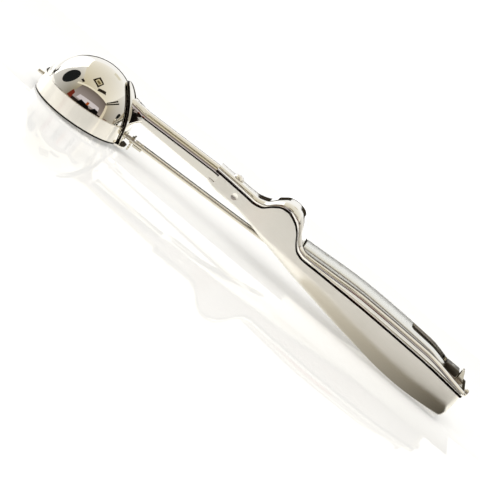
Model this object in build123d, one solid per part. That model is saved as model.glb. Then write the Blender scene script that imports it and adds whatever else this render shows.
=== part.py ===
from build123d import *
import math
import os

# A lever ice cream scoop: a bowl with a turning scraper, a formed shaft and a trough-shaped handle.
# Squeezing the grip plate into the handle lifts the bar's front end, whose rack turns the scraper.
# Sizes are in millimetres. +X runs from the bowl to the end of the handle and +Z is up. Everything
# is drawn from the centre of the bowl, and set_down moves it so that the origin lies under the
# middle of its length, on the surface that it rests on.

# Sheet metal and clearances
sheet = 0.9  # shaft, neck, handle and rail
bowl_wall = 0.8
band_wall = 0.5
saddle_wall = 1.1
running_fit = 0.05  # radial, between a pin and its hole
free_gap = 0.3  # between pieces that move past each other
seat_gap = 0.03  # between curved faces that seat on each other

# Bowl, drawn level and then pitched so that the front of its rim touches the surface
bowl_radius = 22.8  # outside
bowl_skirt = 5.3  # straight wall below the centre
band_height = 9.1
pitch = 3.0  # degrees, the bowl's and the bar's rise towards the handle

# Saddle on the back of the bowl
saddle_rise = 26.0  # degrees, from the horizontal to the middle of the saddle
saddle_reach_up = 15.5  # from its middle to its top edge
saddle_reach_side = 9.0
lip_length = 2.2  # the ledge at the foot of the saddle
lip_half_width = 7.0
lip_corner = 4.2
lip_thickness = 1.0

# Scraper and its drive
axle_radius = 0.8
blade_thickness = 0.7
blade_width = 9.0
blade_tilt = 3.0  # degrees, of the resting blade above the axle's plane
scraper_travel = 174.0  # degrees
front_pin_length = 3.2  # outside the band
front_pin_chamfer = 0.2
pin_head_radius = 1.6
pin_head_height = 0.6
pinion_teeth = 8
gear_module = 0.4
tooth_share = 0.34  # of the pitch, the thickness of a tooth on the pitch line
tooth_rise = 0.75  # of the module, above the pitch line
tooth_fall = 1.0  # of the module, below the pitch line
tooth_slope = 20.0  # degrees
pinion_face = 1.4
hub_length = 2.2
hub_tip_radius = 1.0
hub_root_radius = 1.15
washer_radius = 1.15
washer_thickness = 0.4
bush_wall = 0.65
bush_flange = 0.4
bush_flange_height = 0.18

# Shaft and neck
shaft_width = 8.5
shaft_stand = 1.6  # from the back of the saddle to the shaft
shaft_front_top = 17.0
shaft_front_low = 11.0
shaft_rear_low = 10.8
shaft_round = 3.9
shaft_edge = 0.3
neck_depth = 7.4  # of its hidden root behind the saddle's outside
neck_root_top = 17.6
neck_root_low = -5.5
neck_root_width = 10.4  # along its top
neck_foot_width = 24.0  # along its bottom
neck_root_round = 3.0

# Handle, lengths of its stretches one after another, and what is placed from them
crimp_start = 66.0
crimp_length = 16.0
throat_length = 21.0  # from the crimp to the waist
bump_foot_length = 24.0  # from the front of the crimp to the foot of the bump
bump_rise_length = 11.5
bump_crown_length = 7.0
bump_fall_length = 12.5  # down to the dip at the front of the mouth
mouth_lead = 2.5  # from the start of the mouth to that dip
low_lead = 4.0  # from that dip to the point that shapes the underside
grip_length = 36.0  # from the dip to the middle of the grip
belly_length = 35.0  # on to the belly, where the underside rests
tail_length = 25.5  # on to the end

# Handle, widths
crimp_width = 10.5
waist_width = 20.0
grip_width = 24.0
belly_width = 25.0
end_width = 22.0

# Handle, heights of the crest, which is the top edge
crimp_top = 19.8
bump_foot_top = 19.5
bump_top = 28.1
mouth_top = 15.0
grip_top = 17.3
belly_top = 16.8
end_top = 12.6

# Handle, depth of the polished band below the crest
crimp_band = 3.3
bump_band = 4.1
flank_band = 5.3  # on the rear flank of the bump
flank_lead = 1.5  # from the rear of the crown to that place
mouth_band = 4.0
grip_band = 5.5
end_band = 3.3

# Handle, heights of its underside
crimp_low = 9.5
waist_low = 6.3
mouth_low = 1.6
grip_low = -3.6
end_low = -5.3
crimp_round = 0.6  # of the lower corners
belly_round = 9.0
round_lead = 7.0  # from the middle of the grip back to where the corners are fully round
end_round = 2.4

# Rail
rail_proud = 0.3
rail_lap = 0.1  # of the rail's lower edge below the top of the trough
rail_width = 2.4
crimp_shoulder = 2.5
rail_round = 2.0
bump_round = 3.3
rail_low_round = 0.7
rail_end_round = 0.55
rail_setback = 0.6  # from the front of the trough to the front of the rail
open_reach = 4  # of the sheet, by which an open inside runs past the lower edge

# Details of the handle
floor_slot_width = 8.8
floor_slot_lead = 2.5  # from the end of the slot to the start of the mouth
notch_length = 3.0
notch_low = 12.0
stake_lead = 1.5  # from the stakes to the end of the crimp
stake_height = 13.0
stake_radius = 3.2
stake_depth = 0.45
shaft_overlap = 18.0  # of the shaft inside the handle
rivet_setback = 10.8
rivet_shank = 1.5
rivet_head_radius = 2.9
rivet_head_height = 1.7
rivet_tail_radius = 1.9
rivet_tail_height = 0.6

# Lever
pivot_lead = 0.5  # from the pivot to the rear of the bump's crown
pivot_height = 10.0
pivot_radius = 1.5
spacer_wall = 1.1
bar_width = 5.0
bar_thickness = 1.8
bar_clearance = 0.5  # from the end of the scraper's axle to the bar
bar_bend_lead = 6.0  # from the pivot to the bend behind it
pad_lead = 6.7  # from the front of the plate to where the bar lies under it
pad_length = 16.0
bracket_length = 10.0
bracket_wall = 1.0
bracket_above_pin = 2.8
hinge_rivet_radius = 0.8
hinge_rivet_spacing = 6.0
rivet_head_ratio = 1.7  # of the small rivets, the head's radius to the shank's
small_head_height = 0.5
rack_margin = 0.2  # from the rack's rear face to the pinion's
rack_thickness = 0.8
rack_depth = 3.0
rack_above = 1.6
rack_below = 0.75  # of a tooth's spacing, past the lowest place that meets the pinion
rack_arm_overlap = 0.8
rack_foot_length = 4.8
rack_foot_thickness = 1.0
rack_rivet_radius = 0.6
rack_rivet_spacing = 2.2

# Grip plate
plate_gap = 0.45  # to the rails
plate_sheet = 1.2
plate_flange = 4.2
plate_front_gap = 0.8  # from the start of the mouth
plate_rear_gap = 15.3  # from the end of the handle
plate_front_rise = 2.6  # over the crest at the dip
plate_grip_rise = 2.5  # over the crest at the middle of the grip
plate_belly_rise = 2.0
plate_end_rise = 4.4  # over the crest at the end of the handle
plate_slot_length = 21.7
plate_slot_width = 11.4
plate_slot_round = 2.2
plate_end_round = 3.0
hook_length = 4.0
hook_side_gap = 0.3
plate_rivet_radius = 1.2
plate_rivet_head = 0.7

# Return spring and the bracket that carries it
shelf_gap = 1.0  # from the end of the plate to the shelf
shelf_rise = 0.6  # over the crest at the end of the handle
shelf_width = 16.0
shelf_sheet = 1.0
shelf_leg = 5.0
leg_width = 12.8
cheek_setback = 8.4
cheek_height = 5.2
cheek_crown = 0.9
cheek_spread = 4.6
cheek_sheet = 0.8
leaf_thickness = 0.6
leaf_width = 8.8
leaf_lead = 12.5  # of its tip under the plate in front of the plate's slot
leaf_crown_lead = 2.0
clamp_length = 7.6
clamp_width = 7.0
clamp_height = 3.2
clamp_chamfer = 0.5
clamp_rivet_radius = 1.0
clamp_rivet_head = 0.7
end_rivet_drop = 2.0  # below the crest
end_rivet_radius = 0.9
end_rivet_head = 1.75
end_rivet_head_height = 1.5
end_rivet_head_round = 0.6
end_rivet_collar = 1.1
end_rivet_collar_radius = 1.2

# Worked out from the sizes above
inner_radius = bowl_radius - bowl_wall
band_radius = bowl_radius + band_wall
saddle_inner = band_radius
saddle_outer = saddle_inner + saddle_wall
blade_radius = inner_radius - free_gap
pitch_radius = gear_module * pinion_teeth / 2
bush_radius = axle_radius + running_fit + bush_wall
rest_height = band_radius * math.sin(math.radians(pitch)) + bowl_skirt * math.cos(math.radians(pitch))
bar_top = bar_thickness / 2
hub_start = saddle_outer + free_gap
pinion_start = hub_start + hub_length
pinion_end = pinion_start + pinion_face
axle_end = pinion_end + washer_thickness
bar_start = axle_end + bar_clearance
rack_at = pinion_end - rack_margin - rack_thickness / 2
shaft_start = saddle_outer + shaft_stand

crimp_end = crimp_start + crimp_length
waist = crimp_end + throat_length
bump_foot = crimp_start + bump_foot_length
bump_front = bump_foot + bump_rise_length
bump_rear = bump_front + bump_crown_length
mouth_dip = bump_rear + bump_fall_length
mouth_start = mouth_dip - mouth_lead
grip_middle = mouth_dip + grip_length
belly_at = grip_middle + belly_length
handle_end = belly_at + tail_length
shaft_end = crimp_start + shaft_overlap
rivet_at = crimp_start + rivet_setback
stake_at = crimp_end - stake_lead
floor_slot_end = mouth_start - floor_slot_lead
pivot_at = bump_rear - pivot_lead
plate_start = mouth_start + plate_front_gap
plate_end = handle_end - plate_rear_gap
plate_slot_start = plate_end - plate_slot_length
pad_start = plate_start + pad_lead
pad_end = pad_start + pad_length
shelf_start = plate_end + shelf_gap
shelf_height = end_top + shelf_rise
cheek_start = shelf_start + cheek_setback
leaf_tip = plate_slot_start - leaf_lead
rail_rear = handle_end + rail_proud
rail_inside = rail_rear - rail_width

front_tip = -(band_radius + front_pin_length) * math.cos(math.radians(pitch))
rear_tip = rail_rear + end_rivet_collar + end_rivet_head_height
set_down = Location((-(front_tip + rear_tip) / 2, 0, rest_height))
pitched = Rot(0, -pitch, 0)


def to_pitched(x, z):
    # A level place, in the bowl's own pitched frame
    turn = math.radians(pitch)
    return x * math.cos(turn) + z * math.sin(turn), z * math.cos(turn) - x * math.sin(turn)


def to_level(x, z):
    turn = math.radians(pitch)
    return x * math.cos(turn) - z * math.sin(turn), z * math.cos(turn) + x * math.sin(turn)


pivot_x, pivot_z = to_pitched(pivot_at, pivot_height)
lever_arm = pivot_x - rack_at
lever_travel = pitch_radius * math.radians(scraper_travel) / lever_arm
rack_travel = lever_travel * lever_arm

crest_points = [
    (crimp_start, crimp_top),
    (bump_foot, bump_foot_top),
    (bump_front, bump_top),
    (bump_rear, bump_top),
    (mouth_dip, mouth_top),
    (grip_middle, grip_top),
    (belly_at, belly_top),
    (handle_end, end_top),
]
band_points = [
    (crimp_start, crimp_band),
    (waist, bump_band),
    (bump_rear + flank_lead, flank_band),
    (mouth_dip, mouth_band),
    (grip_middle, grip_band),
    (belly_at, grip_band),
    (handle_end, end_band),
]
width_points = [
    (crimp_start, crimp_width),
    (crimp_end, crimp_width),
    (waist, waist_width),
    (grip_middle, grip_width),
    (belly_at, belly_width),
    (handle_end, end_width),
]
low_points = [
    (crimp_start, crimp_low),
    (crimp_end, crimp_low),
    (waist, waist_low),
    (mouth_dip + low_lead, mouth_low),
    (grip_middle, grip_low),
    (belly_at, -rest_height),
    (handle_end, end_low),
]
corner_points = [
    (crimp_start, crimp_round),
    (crimp_end, crimp_round),
    (grip_middle - round_lead, belly_round),
    (handle_end, belly_round),
]
shoulder_points = [
    (crimp_start, crimp_shoulder),
    (bump_foot, crimp_shoulder),
    (bump_front, bump_round),
    (bump_rear, bump_round),
    (mouth_dip, rail_round),
    (handle_end, rail_round),
]
plate_points = [
    (plate_start, mouth_top + plate_front_rise),
    (grip_middle, grip_top + plate_grip_rise),
    (belly_at, belly_top + plate_belly_rise),
    (plate_end, end_top + plate_end_rise),
]


def secant(points, i):
    return (points[i + 1][1] - points[i][1]) / (points[i + 1][0] - points[i][0])


def slope(points, i):
    # Flat at a high or low point, so that the curve never passes it
    if i == 0:
        return secant(points, 0)
    if i == len(points) - 1:
        return secant(points, i - 1)
    before = secant(points, i - 1)
    after = secant(points, i)
    return 0.0 if before * after <= 0 else 2 * before * after / (before + after)


def curve(points, x):
    # Height at x of the smooth curve through the points, straight on beyond its ends
    if x <= points[0][0]:
        return points[0][1] + slope(points, 0) * (x - points[0][0])
    if x >= points[-1][0]:
        return points[-1][1] + slope(points, len(points) - 1) * (x - points[-1][0])
    i = max(k for k in range(len(points) - 1) if points[k][0] <= x)
    run = points[i + 1][0] - points[i][0]
    t = (x - points[i][0]) / run
    rise = points[i + 1][1] - points[i][1]
    bend = run * (1 - t) * (slope(points, i) * (1 - t) - slope(points, i + 1) * t)
    return points[i][1] + rise * t * t * (3 - 2 * t) + bend * t


def half_width(x):
    return curve(width_points, x) / 2


def crest(x):
    return curve(crest_points, x)


def seam(x):
    return crest(x) - curve(band_points, x)


def low(x):
    return curve(low_points, x)


def plate_top(x):
    return curve(plate_points, x)


def plate_under(x):
    return plate_top(x) - plate_sheet


def rail_inner_half(x):
    return half_width(x) + rail_proud - rail_width


def plate_half(x):
    return rail_inner_half(x) - plate_gap


def spread(start, end, count):
    return [start + (end - start) * i / count for i in range(count + 1)]


def tube(radius, start, end, along=Axis.X, at=(0, 0)):
    # A round bar between two places on an axis: at is its other two coordinates
    bar = Cylinder(radius, end - start)
    middle = (start + end) / 2
    if along == Axis.X:
        return Pos(middle, *at) * Rot(0, 90, 0) * bar
    if along == Axis.Y:
        return Pos(at[0], middle, at[1]) * Rot(90, 0, 0) * bar
    return Pos(*at, middle) * bar


def block(x, y, z):
    # A box between pairs of limits
    size = [limits[1] - limits[0] for limits in (x, y, z)]
    middle = [(limits[0] + limits[1]) / 2 for limits in (x, y, z)]
    return Pos(*middle) * Box(*size)


def dome(radius):
    # The upper half of a ball on the bowl's straight skirt
    ball = Sphere(radius) & block((-radius, radius), (-radius, radius), (0, radius))
    return ball + Pos(0, 0, -bowl_skirt / 2) * Cylinder(radius, bowl_skirt)


def across(x):
    # The plane square to X, with Y to its right and Z up
    return Plane(origin=(x, 0, 0), x_dir=(0, 1, 0), z_dir=(1, 0, 0))


def section(x, half_low, half_high, bottom, top, low_corner, high_corner):
    # A four-cornered outline square to X, narrower or wider at the top
    corners = [(-half_low, bottom), (half_low, bottom), (half_high, top), (-half_high, top)]
    rounds = [low_corner, low_corner, high_corner, high_corner]
    return across(x) * make_face(FilletPolyline(*corners, radius=rounds, close=True))


def side_band(top_at, bottom_at, start, end, half, count=24):
    # The region between two heights along X, as wide as twice half
    stations = spread(start, end, count)
    top = Spline([(x, top_at(x)) for x in stations])
    bottom = Spline([(x, bottom_at(x)) for x in stations])
    front = Line(bottom @ 0, top @ 0)
    rear = Line(top @ 1, bottom @ 1)
    face = Plane.XZ * make_face(Curve() + [top, bottom, front, rear])
    return extrude(face, half, both=True)


def plan_band(half_at, start, end, bottom, top, count=16):
    # The region inside a half width along X, between two levels
    stations = spread(start, end, count)
    near = Spline([(x, -half_at(x)) for x in stations])
    far = Spline([(x, half_at(x)) for x in stations])
    front = Line(near @ 0, far @ 0)
    rear = Line(near @ 1, far @ 1)
    face = Pos(0, 0, bottom) * make_face(Curve() + [near, far, front, rear])
    return extrude(face, top - bottom)


def rivet(radius, bottom, top, head_height, at):
    # A small upright rivet through a stack, with a head on each side
    head = radius * rivet_head_ratio
    low_head = tube(head, bottom - head_height, bottom, Axis.Z, at)
    high_head = tube(head, top, top + head_height, Axis.Z, at)
    return tube(radius, bottom, top, Axis.Z, at) + low_head + high_head


# Bowl


def axle_hole():
    return tube(axle_radius + running_fit, -saddle_outer, 0)


def bush_hole():
    return tube(bush_radius, 0, saddle_outer * 2)


def bowl():
    return pitched * (dome(bowl_radius) - dome(inner_radius) - axle_hole() - bush_hole())


def band_ring():
    return Pos(0, 0, band_height / 2 - bowl_skirt) * Cylinder(band_radius, band_height)


def bowl_band():
    ring = chamfer(band_ring().edges().group_by(Axis.Z)[-1], band_wall / 2)
    return pitched * (ring - dome(bowl_radius) - axle_hole() - bush_hole())


def saddle_oval():
    # The oval prism that the saddle is cut with, square to its middle
    face = across(0) * Ellipse(saddle_reach_side, saddle_reach_up)
    return Rot(0, pitch - saddle_rise, 0) * extrude(face, saddle_outer * 2)


def bowl_saddle():
    plate = (dome(saddle_outer) - dome(saddle_inner)) & saddle_oval()
    reach = saddle_outer + lip_length
    lip = block((0, reach), (-lip_half_width, lip_half_width), (-bowl_skirt, lip_thickness - bowl_skirt))
    lip = fillet(lip.edges().filter_by(Axis.Z).group_by(Axis.X)[-1], lip_corner)
    return pitched * (plate + (lip - dome(saddle_inner)) - band_ring() - bush_hole())


def rear_bush():
    body = tube(bush_radius, inner_radius, saddle_outer) - Sphere(inner_radius)
    flange = tube(bush_radius + bush_flange, saddle_inner, saddle_outer + bush_flange_height)
    flange -= dome(saddle_outer)
    return pitched * (body + flange - tube(axle_radius + running_fit, 0, saddle_outer * 2))


# Scraper


def scraper_blade():
    shell = Sphere(blade_radius) - Sphere(blade_radius - blade_thickness)
    strip = block((-blade_radius, blade_radius), (0, blade_radius), (-blade_width / 2, blade_width / 2))
    ends = tube(blade_width / 2, -blade_radius, blade_radius)
    hoop = shell & (strip + ends)
    return pitched * Rot(blade_tilt, 0, 0) * (hoop - tube(axle_radius, -blade_radius, blade_radius))


def stub(end, side):
    # A pin from the inside of the hoop out to its end, with its riveted head inside the hoop
    seat = math.sqrt((blade_radius - blade_thickness) ** 2 - pin_head_radius**2)
    shank = tube(axle_radius, *sorted((side * (seat - pin_head_height), side * end)))
    head = tube(pin_head_radius, *sorted((side * seat, side * (seat - pin_head_height))))
    return shank + head


def scraper_front_pin():
    pin = stub(band_radius + front_pin_length, -1)
    return pitched * chamfer(pin.edges().group_by(Axis.X)[0], front_pin_chamfer)


def scraper_rear_axle():
    return pitched * stub(axle_end, 1)


def tooth_sizes():
    # Height above and below the pitch line, and thickness at the tip and at the root
    thick = tooth_share * math.pi * gear_module
    flank = math.tan(math.radians(tooth_slope))
    rise = tooth_rise * gear_module
    fall = tooth_fall * gear_module
    return rise, fall, thick - 2 * rise * flank, thick + 2 * fall * flank


def tooth(inner, outer, root, tip):
    # One tooth pointing along the first axis, from its foot out to its tip
    points = [(inner, -root / 2), (outer, -tip / 2), (outer, tip / 2), (inner, root / 2)]
    return make_face(Polyline(*points, close=True))


def pinion():
    rise, fall, tip, root = tooth_sizes()
    core = pitch_radius - fall
    profile = tooth(core - fall / 2, pitch_radius + rise, root * core / pitch_radius, tip)
    teeth = [Rot(0, 0, 360 / pinion_teeth * i) * profile for i in range(pinion_teeth)]
    gear = extrude(across(pinion_start) * (Circle(core) + teeth), pinion_face)
    hub = Cone(hub_tip_radius, hub_root_radius, hub_length)
    hub = Pos(hub_start + hub_length / 2, 0, 0) * Rot(0, 90, 0) * hub
    return pitched * (gear + hub - tube(axle_radius, 0, axle_end))


def pinion_washer():
    ring = tube(washer_radius, pinion_end, axle_end)
    return pitched * (ring - tube(axle_radius, 0, axle_end))


# Neck and shaft


def neck_loft(grow):
    # The flare, from the width of the shaft to a wide foot inside the saddle's curve
    root = section(
        saddle_outer - neck_depth,
        neck_foot_width / 2 + grow,
        neck_root_width / 2 + grow,
        neck_root_low - grow,
        neck_root_top + grow,
        neck_root_round + grow,
        neck_root_round + grow,
    )
    tail = section(
        shaft_start,
        shaft_width / 2 + grow,
        shaft_width / 2 + grow,
        shaft_front_low - grow,
        shaft_front_top + grow,
        (shaft_round + grow) / 3,
        shaft_round + grow,
    )
    return loft([root, tail])


def neck():
    return neck_loft(0) - neck_loft(-sheet) - Sphere(saddle_outer)


def shaft_top(x):
    # Straight up to the handle, then along under the crimped rail
    seat = crest(crimp_start) - sheet - seat_gap
    if x < crimp_start:
        return curve([(shaft_start, shaft_front_top), (crimp_start, seat)], x)
    return crest(x) - sheet - seat_gap


def shaft_low(x):
    return curve([(shaft_start, shaft_front_low), (shaft_end, shaft_rear_low)], x)


def shaft_channel(half, drop, start, end):
    sections = []
    for x in [start, crimp_start] + spread(crimp_start + shaft_round, end, 3):
        bottom = shaft_low(x) - open_reach * drop
        sections.append(section(x, half, half, bottom, shaft_top(x) - drop, shaft_edge, shaft_round - drop))
    return loft(sections, ruled=True)


def rivet_hole():
    return tube(rivet_shank, 0, bump_top, Axis.Z, (rivet_at, 0))


def shaft():
    outer = shaft_channel(shaft_width / 2, 0, shaft_start, shaft_end)
    inner = shaft_channel(shaft_width / 2 - sheet, sheet, shaft_start - sheet, shaft_end + sheet)
    return outer - inner - rivet_hole()


def shaft_rivet():
    # The domed head stands on the rail and the tail is spread under the shaft's web
    place = (rivet_at, 0)
    seat = crest(rivet_at - rivet_head_radius) + seat_gap
    inside = shaft_round - sheet
    past_flat = max(rivet_tail_radius + inside + sheet - shaft_width / 2, 0)
    curve_drop = inside - math.sqrt(inside**2 - past_flat**2)
    web = shaft_top(rivet_at + rivet_tail_radius) - sheet - curve_drop - seat_gap
    shank = tube(rivet_shank, web - rivet_tail_height, seat, Axis.Z, place)
    tail = tube(rivet_tail_radius, web - rivet_tail_height, web, Axis.Z, place)
    ball = (rivet_head_radius**2 + rivet_head_height**2) / (2 * rivet_head_height)
    cap = Pos(rivet_at, 0, seat + rivet_head_height - ball) * Sphere(ball)
    return shank + tail + (cap & tube(rivet_head_radius, seat, seat + ball, Axis.Z, place))


# Handle


def body_loft(grow, start, end):
    # The trough's outside, or its inside where grow is minus the sheet
    top = 2 * bump_top - grow
    last = end - end_round - sheet
    stations = [x for x in spread(crimp_start, handle_end, 30) if start + sheet < x < last]
    sections = []
    for x in [start] + stations + [end]:
        half = half_width(x) + grow
        corner = max(curve(corner_points, x) + grow, shaft_edge)
        sections.append(section(x, half, half, low(x) - grow, top, corner, corner))
    solid = loft(sections, ruled=True)
    return fillet(solid.edges().group_by(Axis.X)[-1], end_round + grow)


def rail_stations():
    stretches = [
        (crimp_start, bump_foot, 4),
        (bump_foot, bump_front, 6),
        (bump_front, bump_rear, 3),
        (bump_rear, mouth_dip, 8),
        (mouth_dip, handle_end, 16),
    ]
    return [x for start, end, count in stretches for x in spread(start, end, count)[1:]]


def rail_loft(grow, drop, start, end):
    # The rail's outline filled in, or its inside where grow and drop take the sheet off
    sections = []
    for x in [start] + [x for x in rail_stations() if start + rail_lap < x < end - rail_lap] + [end]:
        half = half_width(x) + grow
        shoulder = curve(shoulder_points, x) - drop
        bottom = seam(x) - open_reach * drop
        sections.append(section(x, half, half, bottom, crest(x) - drop, rail_low_round, shoulder))
    return loft(sections, ruled=True)


def rail_block():
    solid = rail_loft(rail_proud, 0, crimp_start + rail_setback, rail_rear)
    return fillet(solid.edges().group_by(Axis.X)[-1], rail_end_round)


def top_rail():
    under = rail_loft(rail_proud - sheet, sheet, crimp_start, mouth_start)
    mouth = plan_band(rail_inner_half, mouth_start, rail_inside, 0, bump_top)
    return rail_block() - under - mouth - rivet_hole() - end_rivet_shank()


def handle_body():
    outer = body_loft(0, crimp_start, handle_end)
    inner = body_loft(-sheet, crimp_start - sheet, handle_end - sheet)
    half = belly_width
    below = side_band(lambda x: seam(x) + rail_lap, lambda x: -half, crimp_start, handle_end, half, 40)
    half_slot = floor_slot_width / 2
    slot = block((0, floor_slot_end), (-half_slot, half_slot), (-belly_width, crimp_low))
    slot += tube(half_slot, -belly_width, crimp_low, Axis.Z, (floor_slot_end, 0))
    notch = block((0, crimp_start + notch_length), (-crimp_width, crimp_width), (notch_low, bump_top))
    shell = (outer - inner) & below
    shell = shell - slot - notch - rail_block()
    for side in (-1, 1):
        away = crimp_width / 2 + stake_radius - stake_depth
        shell -= Pos(stake_at, side * away, stake_height) * Sphere(stake_radius)
    return shell - tube(pivot_radius, -belly_width, belly_width, Axis.Y, (pivot_at, pivot_height))


def pivot_pin():
    reach = half_width(pivot_at)
    return tube(pivot_radius, -reach, reach, Axis.Y, (pivot_at, pivot_height))


def pivot_spacers():
    inner = bar_width / 2 + bracket_wall + free_gap
    outer = half_width(pivot_at) - sheet - free_gap
    place = (pivot_at, pivot_height)
    bore = tube(pivot_radius + running_fit, -outer, outer, Axis.Y, place)
    rings = []
    for side in (-1, 1):
        ring = tube(pivot_radius + spacer_wall, *sorted((side * inner, side * outer)), Axis.Y, place)
        rings.append(ring - bore)
    return Compound(children=rings)


# Lever


def lever_bar():
    # Straight along the bowl's axle, then bent up to lie under the grip plate
    front = to_level(bar_start, 0)
    bend = to_level(pivot_x + bar_bend_lead, 0)
    pad = [(x, plate_under(x) - seat_gap - bar_top) for x in (pad_start, pad_end)]
    face = Plane.XZ * trace(Polyline(front, bend, *pad), bar_thickness)
    bar = extrude(face, bar_width / 2, both=True)
    return bar - plate_rivet_holes() - pitched * (hinge_rivet_holes() + rack_rivet_holes())


def pair(middle, spacing):
    return [middle - spacing / 2, middle + spacing / 2]


def plate_rivet_places():
    return pair((pad_start + pad_end) / 2, pad_length / 2)


def plate_rivet_holes():
    return Part() + [tube(plate_rivet_radius, 0, bump_top, Axis.Z, (x, 0)) for x in plate_rivet_places()]


def plate_rivets():
    # Ground flush with the plate on top
    rivets = []
    for x in plate_rivet_places():
        under = plate_under(x) - bar_thickness - plate_rivet_radius / 4
        shank = tube(plate_rivet_radius, under - plate_rivet_head, bump_top, Axis.Z, (x, 0))
        head = tube(plate_rivet_radius * rivet_head_ratio, under - plate_rivet_head, under, Axis.Z, (x, 0))
        rivets.append((shank & plate_limit()) + head)
    return Compound(children=rivets)


def hinge_rivet_places():
    return pair(pivot_x, hinge_rivet_spacing)


def hinge_rivet_holes():
    places = hinge_rivet_places()
    reach = bar_thickness * 2
    return Part() + [tube(hinge_rivet_radius, -reach, reach, Axis.Z, (x, 0)) for x in places]


def hinge_rivets():
    top = bar_top + bracket_wall
    rivets = []
    for x in hinge_rivet_places():
        rivets.append(pitched * rivet(hinge_rivet_radius, -bar_top, top, small_head_height, (x, 0)))
    return Compound(children=rivets)


def hinge_bracket():
    # A channel on the bar, whose two ears turn on the pivot pin
    half = bar_width / 2 + bracket_wall
    length = (pivot_x - bracket_length / 2, pivot_x + bracket_length / 2)
    top = pivot_z + bracket_above_pin
    outer = block(length, (-half, half), (bar_top, top))
    outer = fillet(outer.edges().filter_by(Axis.Y).group_by(Axis.Z)[-1], bracket_above_pin - free_gap)
    inner = block((0, 2 * pivot_x), (-bar_width / 2, bar_width / 2), (bar_top + bracket_wall, 2 * top))
    hole = tube(pivot_radius + running_fit, -half, half, Axis.Y, (pivot_x, pivot_z))
    return pitched * (outer - inner - hole - hinge_rivet_holes())


def rack_rivet_places():
    return pair(bar_start + rack_foot_length / 2, rack_rivet_spacing)


def rack_rivet_holes():
    places = rack_rivet_places()
    reach = bar_thickness * 2
    return Part() + [tube(rack_rivet_radius, -reach, reach, Axis.Z, (x, 0)) for x in places]


def rack_rivets():
    foot = -bar_top - rack_foot_thickness
    rivets = []
    for x in rack_rivet_places():
        rivets.append(pitched * rivet(rack_rivet_radius, foot, bar_top, small_head_height, (x, 0)))
    return Compound(children=rivets)


def rack():
    # At rest a gap between two of its teeth is level with the axle, opposite a tooth of the pinion
    rise, fall, tip, root = tooth_sizes()
    spacing = math.pi * gear_module
    bottom = -(rack_travel + rack_below * spacing)
    face_at = pitch_radius + fall
    back = face_at + rack_depth
    middle = Pos((face_at + back) / 2, (rack_above + bottom) / 2)
    blade = middle * Rectangle(rack_depth, rack_above - bottom)
    profile = Rot(0, 0, 180) * tooth(-fall * 1.5, rise, root, tip)
    level = spacing / 2
    while level - root / 2 > bottom:
        blade += Pos(pitch_radius, level) * profile
        level -= spacing
    plate = extrude(across(rack_at - rack_thickness / 2) * blade, rack_thickness)
    foot_low = -bar_top - rack_foot_thickness
    arm = block((rack_at, bar_start + rack_arm_overlap), (face_at, back), (foot_low, -bar_top))
    foot = block((bar_start, bar_start + rack_foot_length), (-bar_width / 2, back), (foot_low, -bar_top))
    return pitched * (plate + arm + foot - rack_rivet_holes())


# Grip plate


def plate_limit():
    return side_band(plate_top, lambda x: 0, plate_start, plate_end, belly_width, 20)


def grip_plate():
    # A pressed tray turned upside down, open at the front, with a fork at the rear
    outer = plan_band(plate_half, plate_start, plate_end, 0, bump_top)
    outer = fillet(outer.edges().filter_by(Axis.Z).group_by(Axis.X)[-1], plate_end_round)
    inner = plan_band(
        lambda x: plate_half(x) - plate_sheet,
        plate_start - plate_sheet,
        plate_end - plate_sheet,
        -plate_sheet,
        bump_top + plate_sheet,
    )
    rim = side_band(plate_top, lambda x: plate_top(x) - plate_flange, plate_start, plate_end, belly_width, 20)
    under = side_band(
        plate_under,
        lambda x: -belly_width,
        plate_start - plate_sheet,
        plate_end + plate_sheet,
        belly_width,
        20,
    )
    half_slot = plate_slot_width / 2
    slot_length = (plate_slot_start, plate_end + plate_sheet)
    slot = block(slot_length, (-half_slot, half_slot), (-plate_sheet, bump_top))
    slot = fillet(slot.edges().filter_by(Axis.Z).group_by(Axis.X)[0], plate_slot_round)
    return (outer & rim) - (inner & under) - slot + hooks() - plate_rivet_holes()


def hooks():
    # The turned-down ends of the two prongs, which catch under the shelf and stop the lever
    under = shelf_height - shelf_sheet - free_gap
    reach = shelf_width / 2 - hook_side_gap
    start = plate_end - plate_sheet
    wall_top = plate_under(plate_end) + plate_sheet / 2
    pieces = []
    for side in (-1, 1):
        sides = sorted((side * plate_slot_width / 2, side * reach))
        tongue = block((start, shelf_start + hook_length), sides, (under - plate_sheet, under))
        wall = block((start, plate_end), sides, (under - plate_sheet, wall_top))
        pieces += [tongue, wall]
    return Part() + pieces


# Return spring and rear bracket


def leaf_spring():
    root = shelf_height + leaf_thickness / 2
    touch = plate_under(leaf_tip) - free_gap - leaf_thickness / 2
    crown = plate_under(plate_slot_start) - free_gap - leaf_thickness
    bow = Spline(
        [(leaf_tip, touch), (plate_slot_start + leaf_crown_lead, crown), (shelf_start, root)],
        tangents=[(1, 0), (1, 0)],
    )
    line = Curve() + [bow, Line((shelf_start, root), (shelf_start + clamp_length, root))]
    strip = extrude(Plane.XZ * trace(line, leaf_thickness), leaf_width / 2, both=True)
    return strip - clamp_rivet_hole()


def clamp_place():
    return (shelf_start + clamp_length / 2, 0)


def clamp_rivet_hole():
    return tube(clamp_rivet_radius, 0, bump_top, Axis.Z, clamp_place())


def clamp_top():
    return shelf_height + leaf_thickness + clamp_height


def spring_clamp():
    half = clamp_width / 2
    length = (shelf_start, shelf_start + clamp_length)
    solid = block(length, (-half, half), (clamp_top() - clamp_height, clamp_top()))
    solid = chamfer(solid.edges().group_by(Axis.Z)[-1], clamp_chamfer)
    return solid - clamp_rivet_hole()


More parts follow.
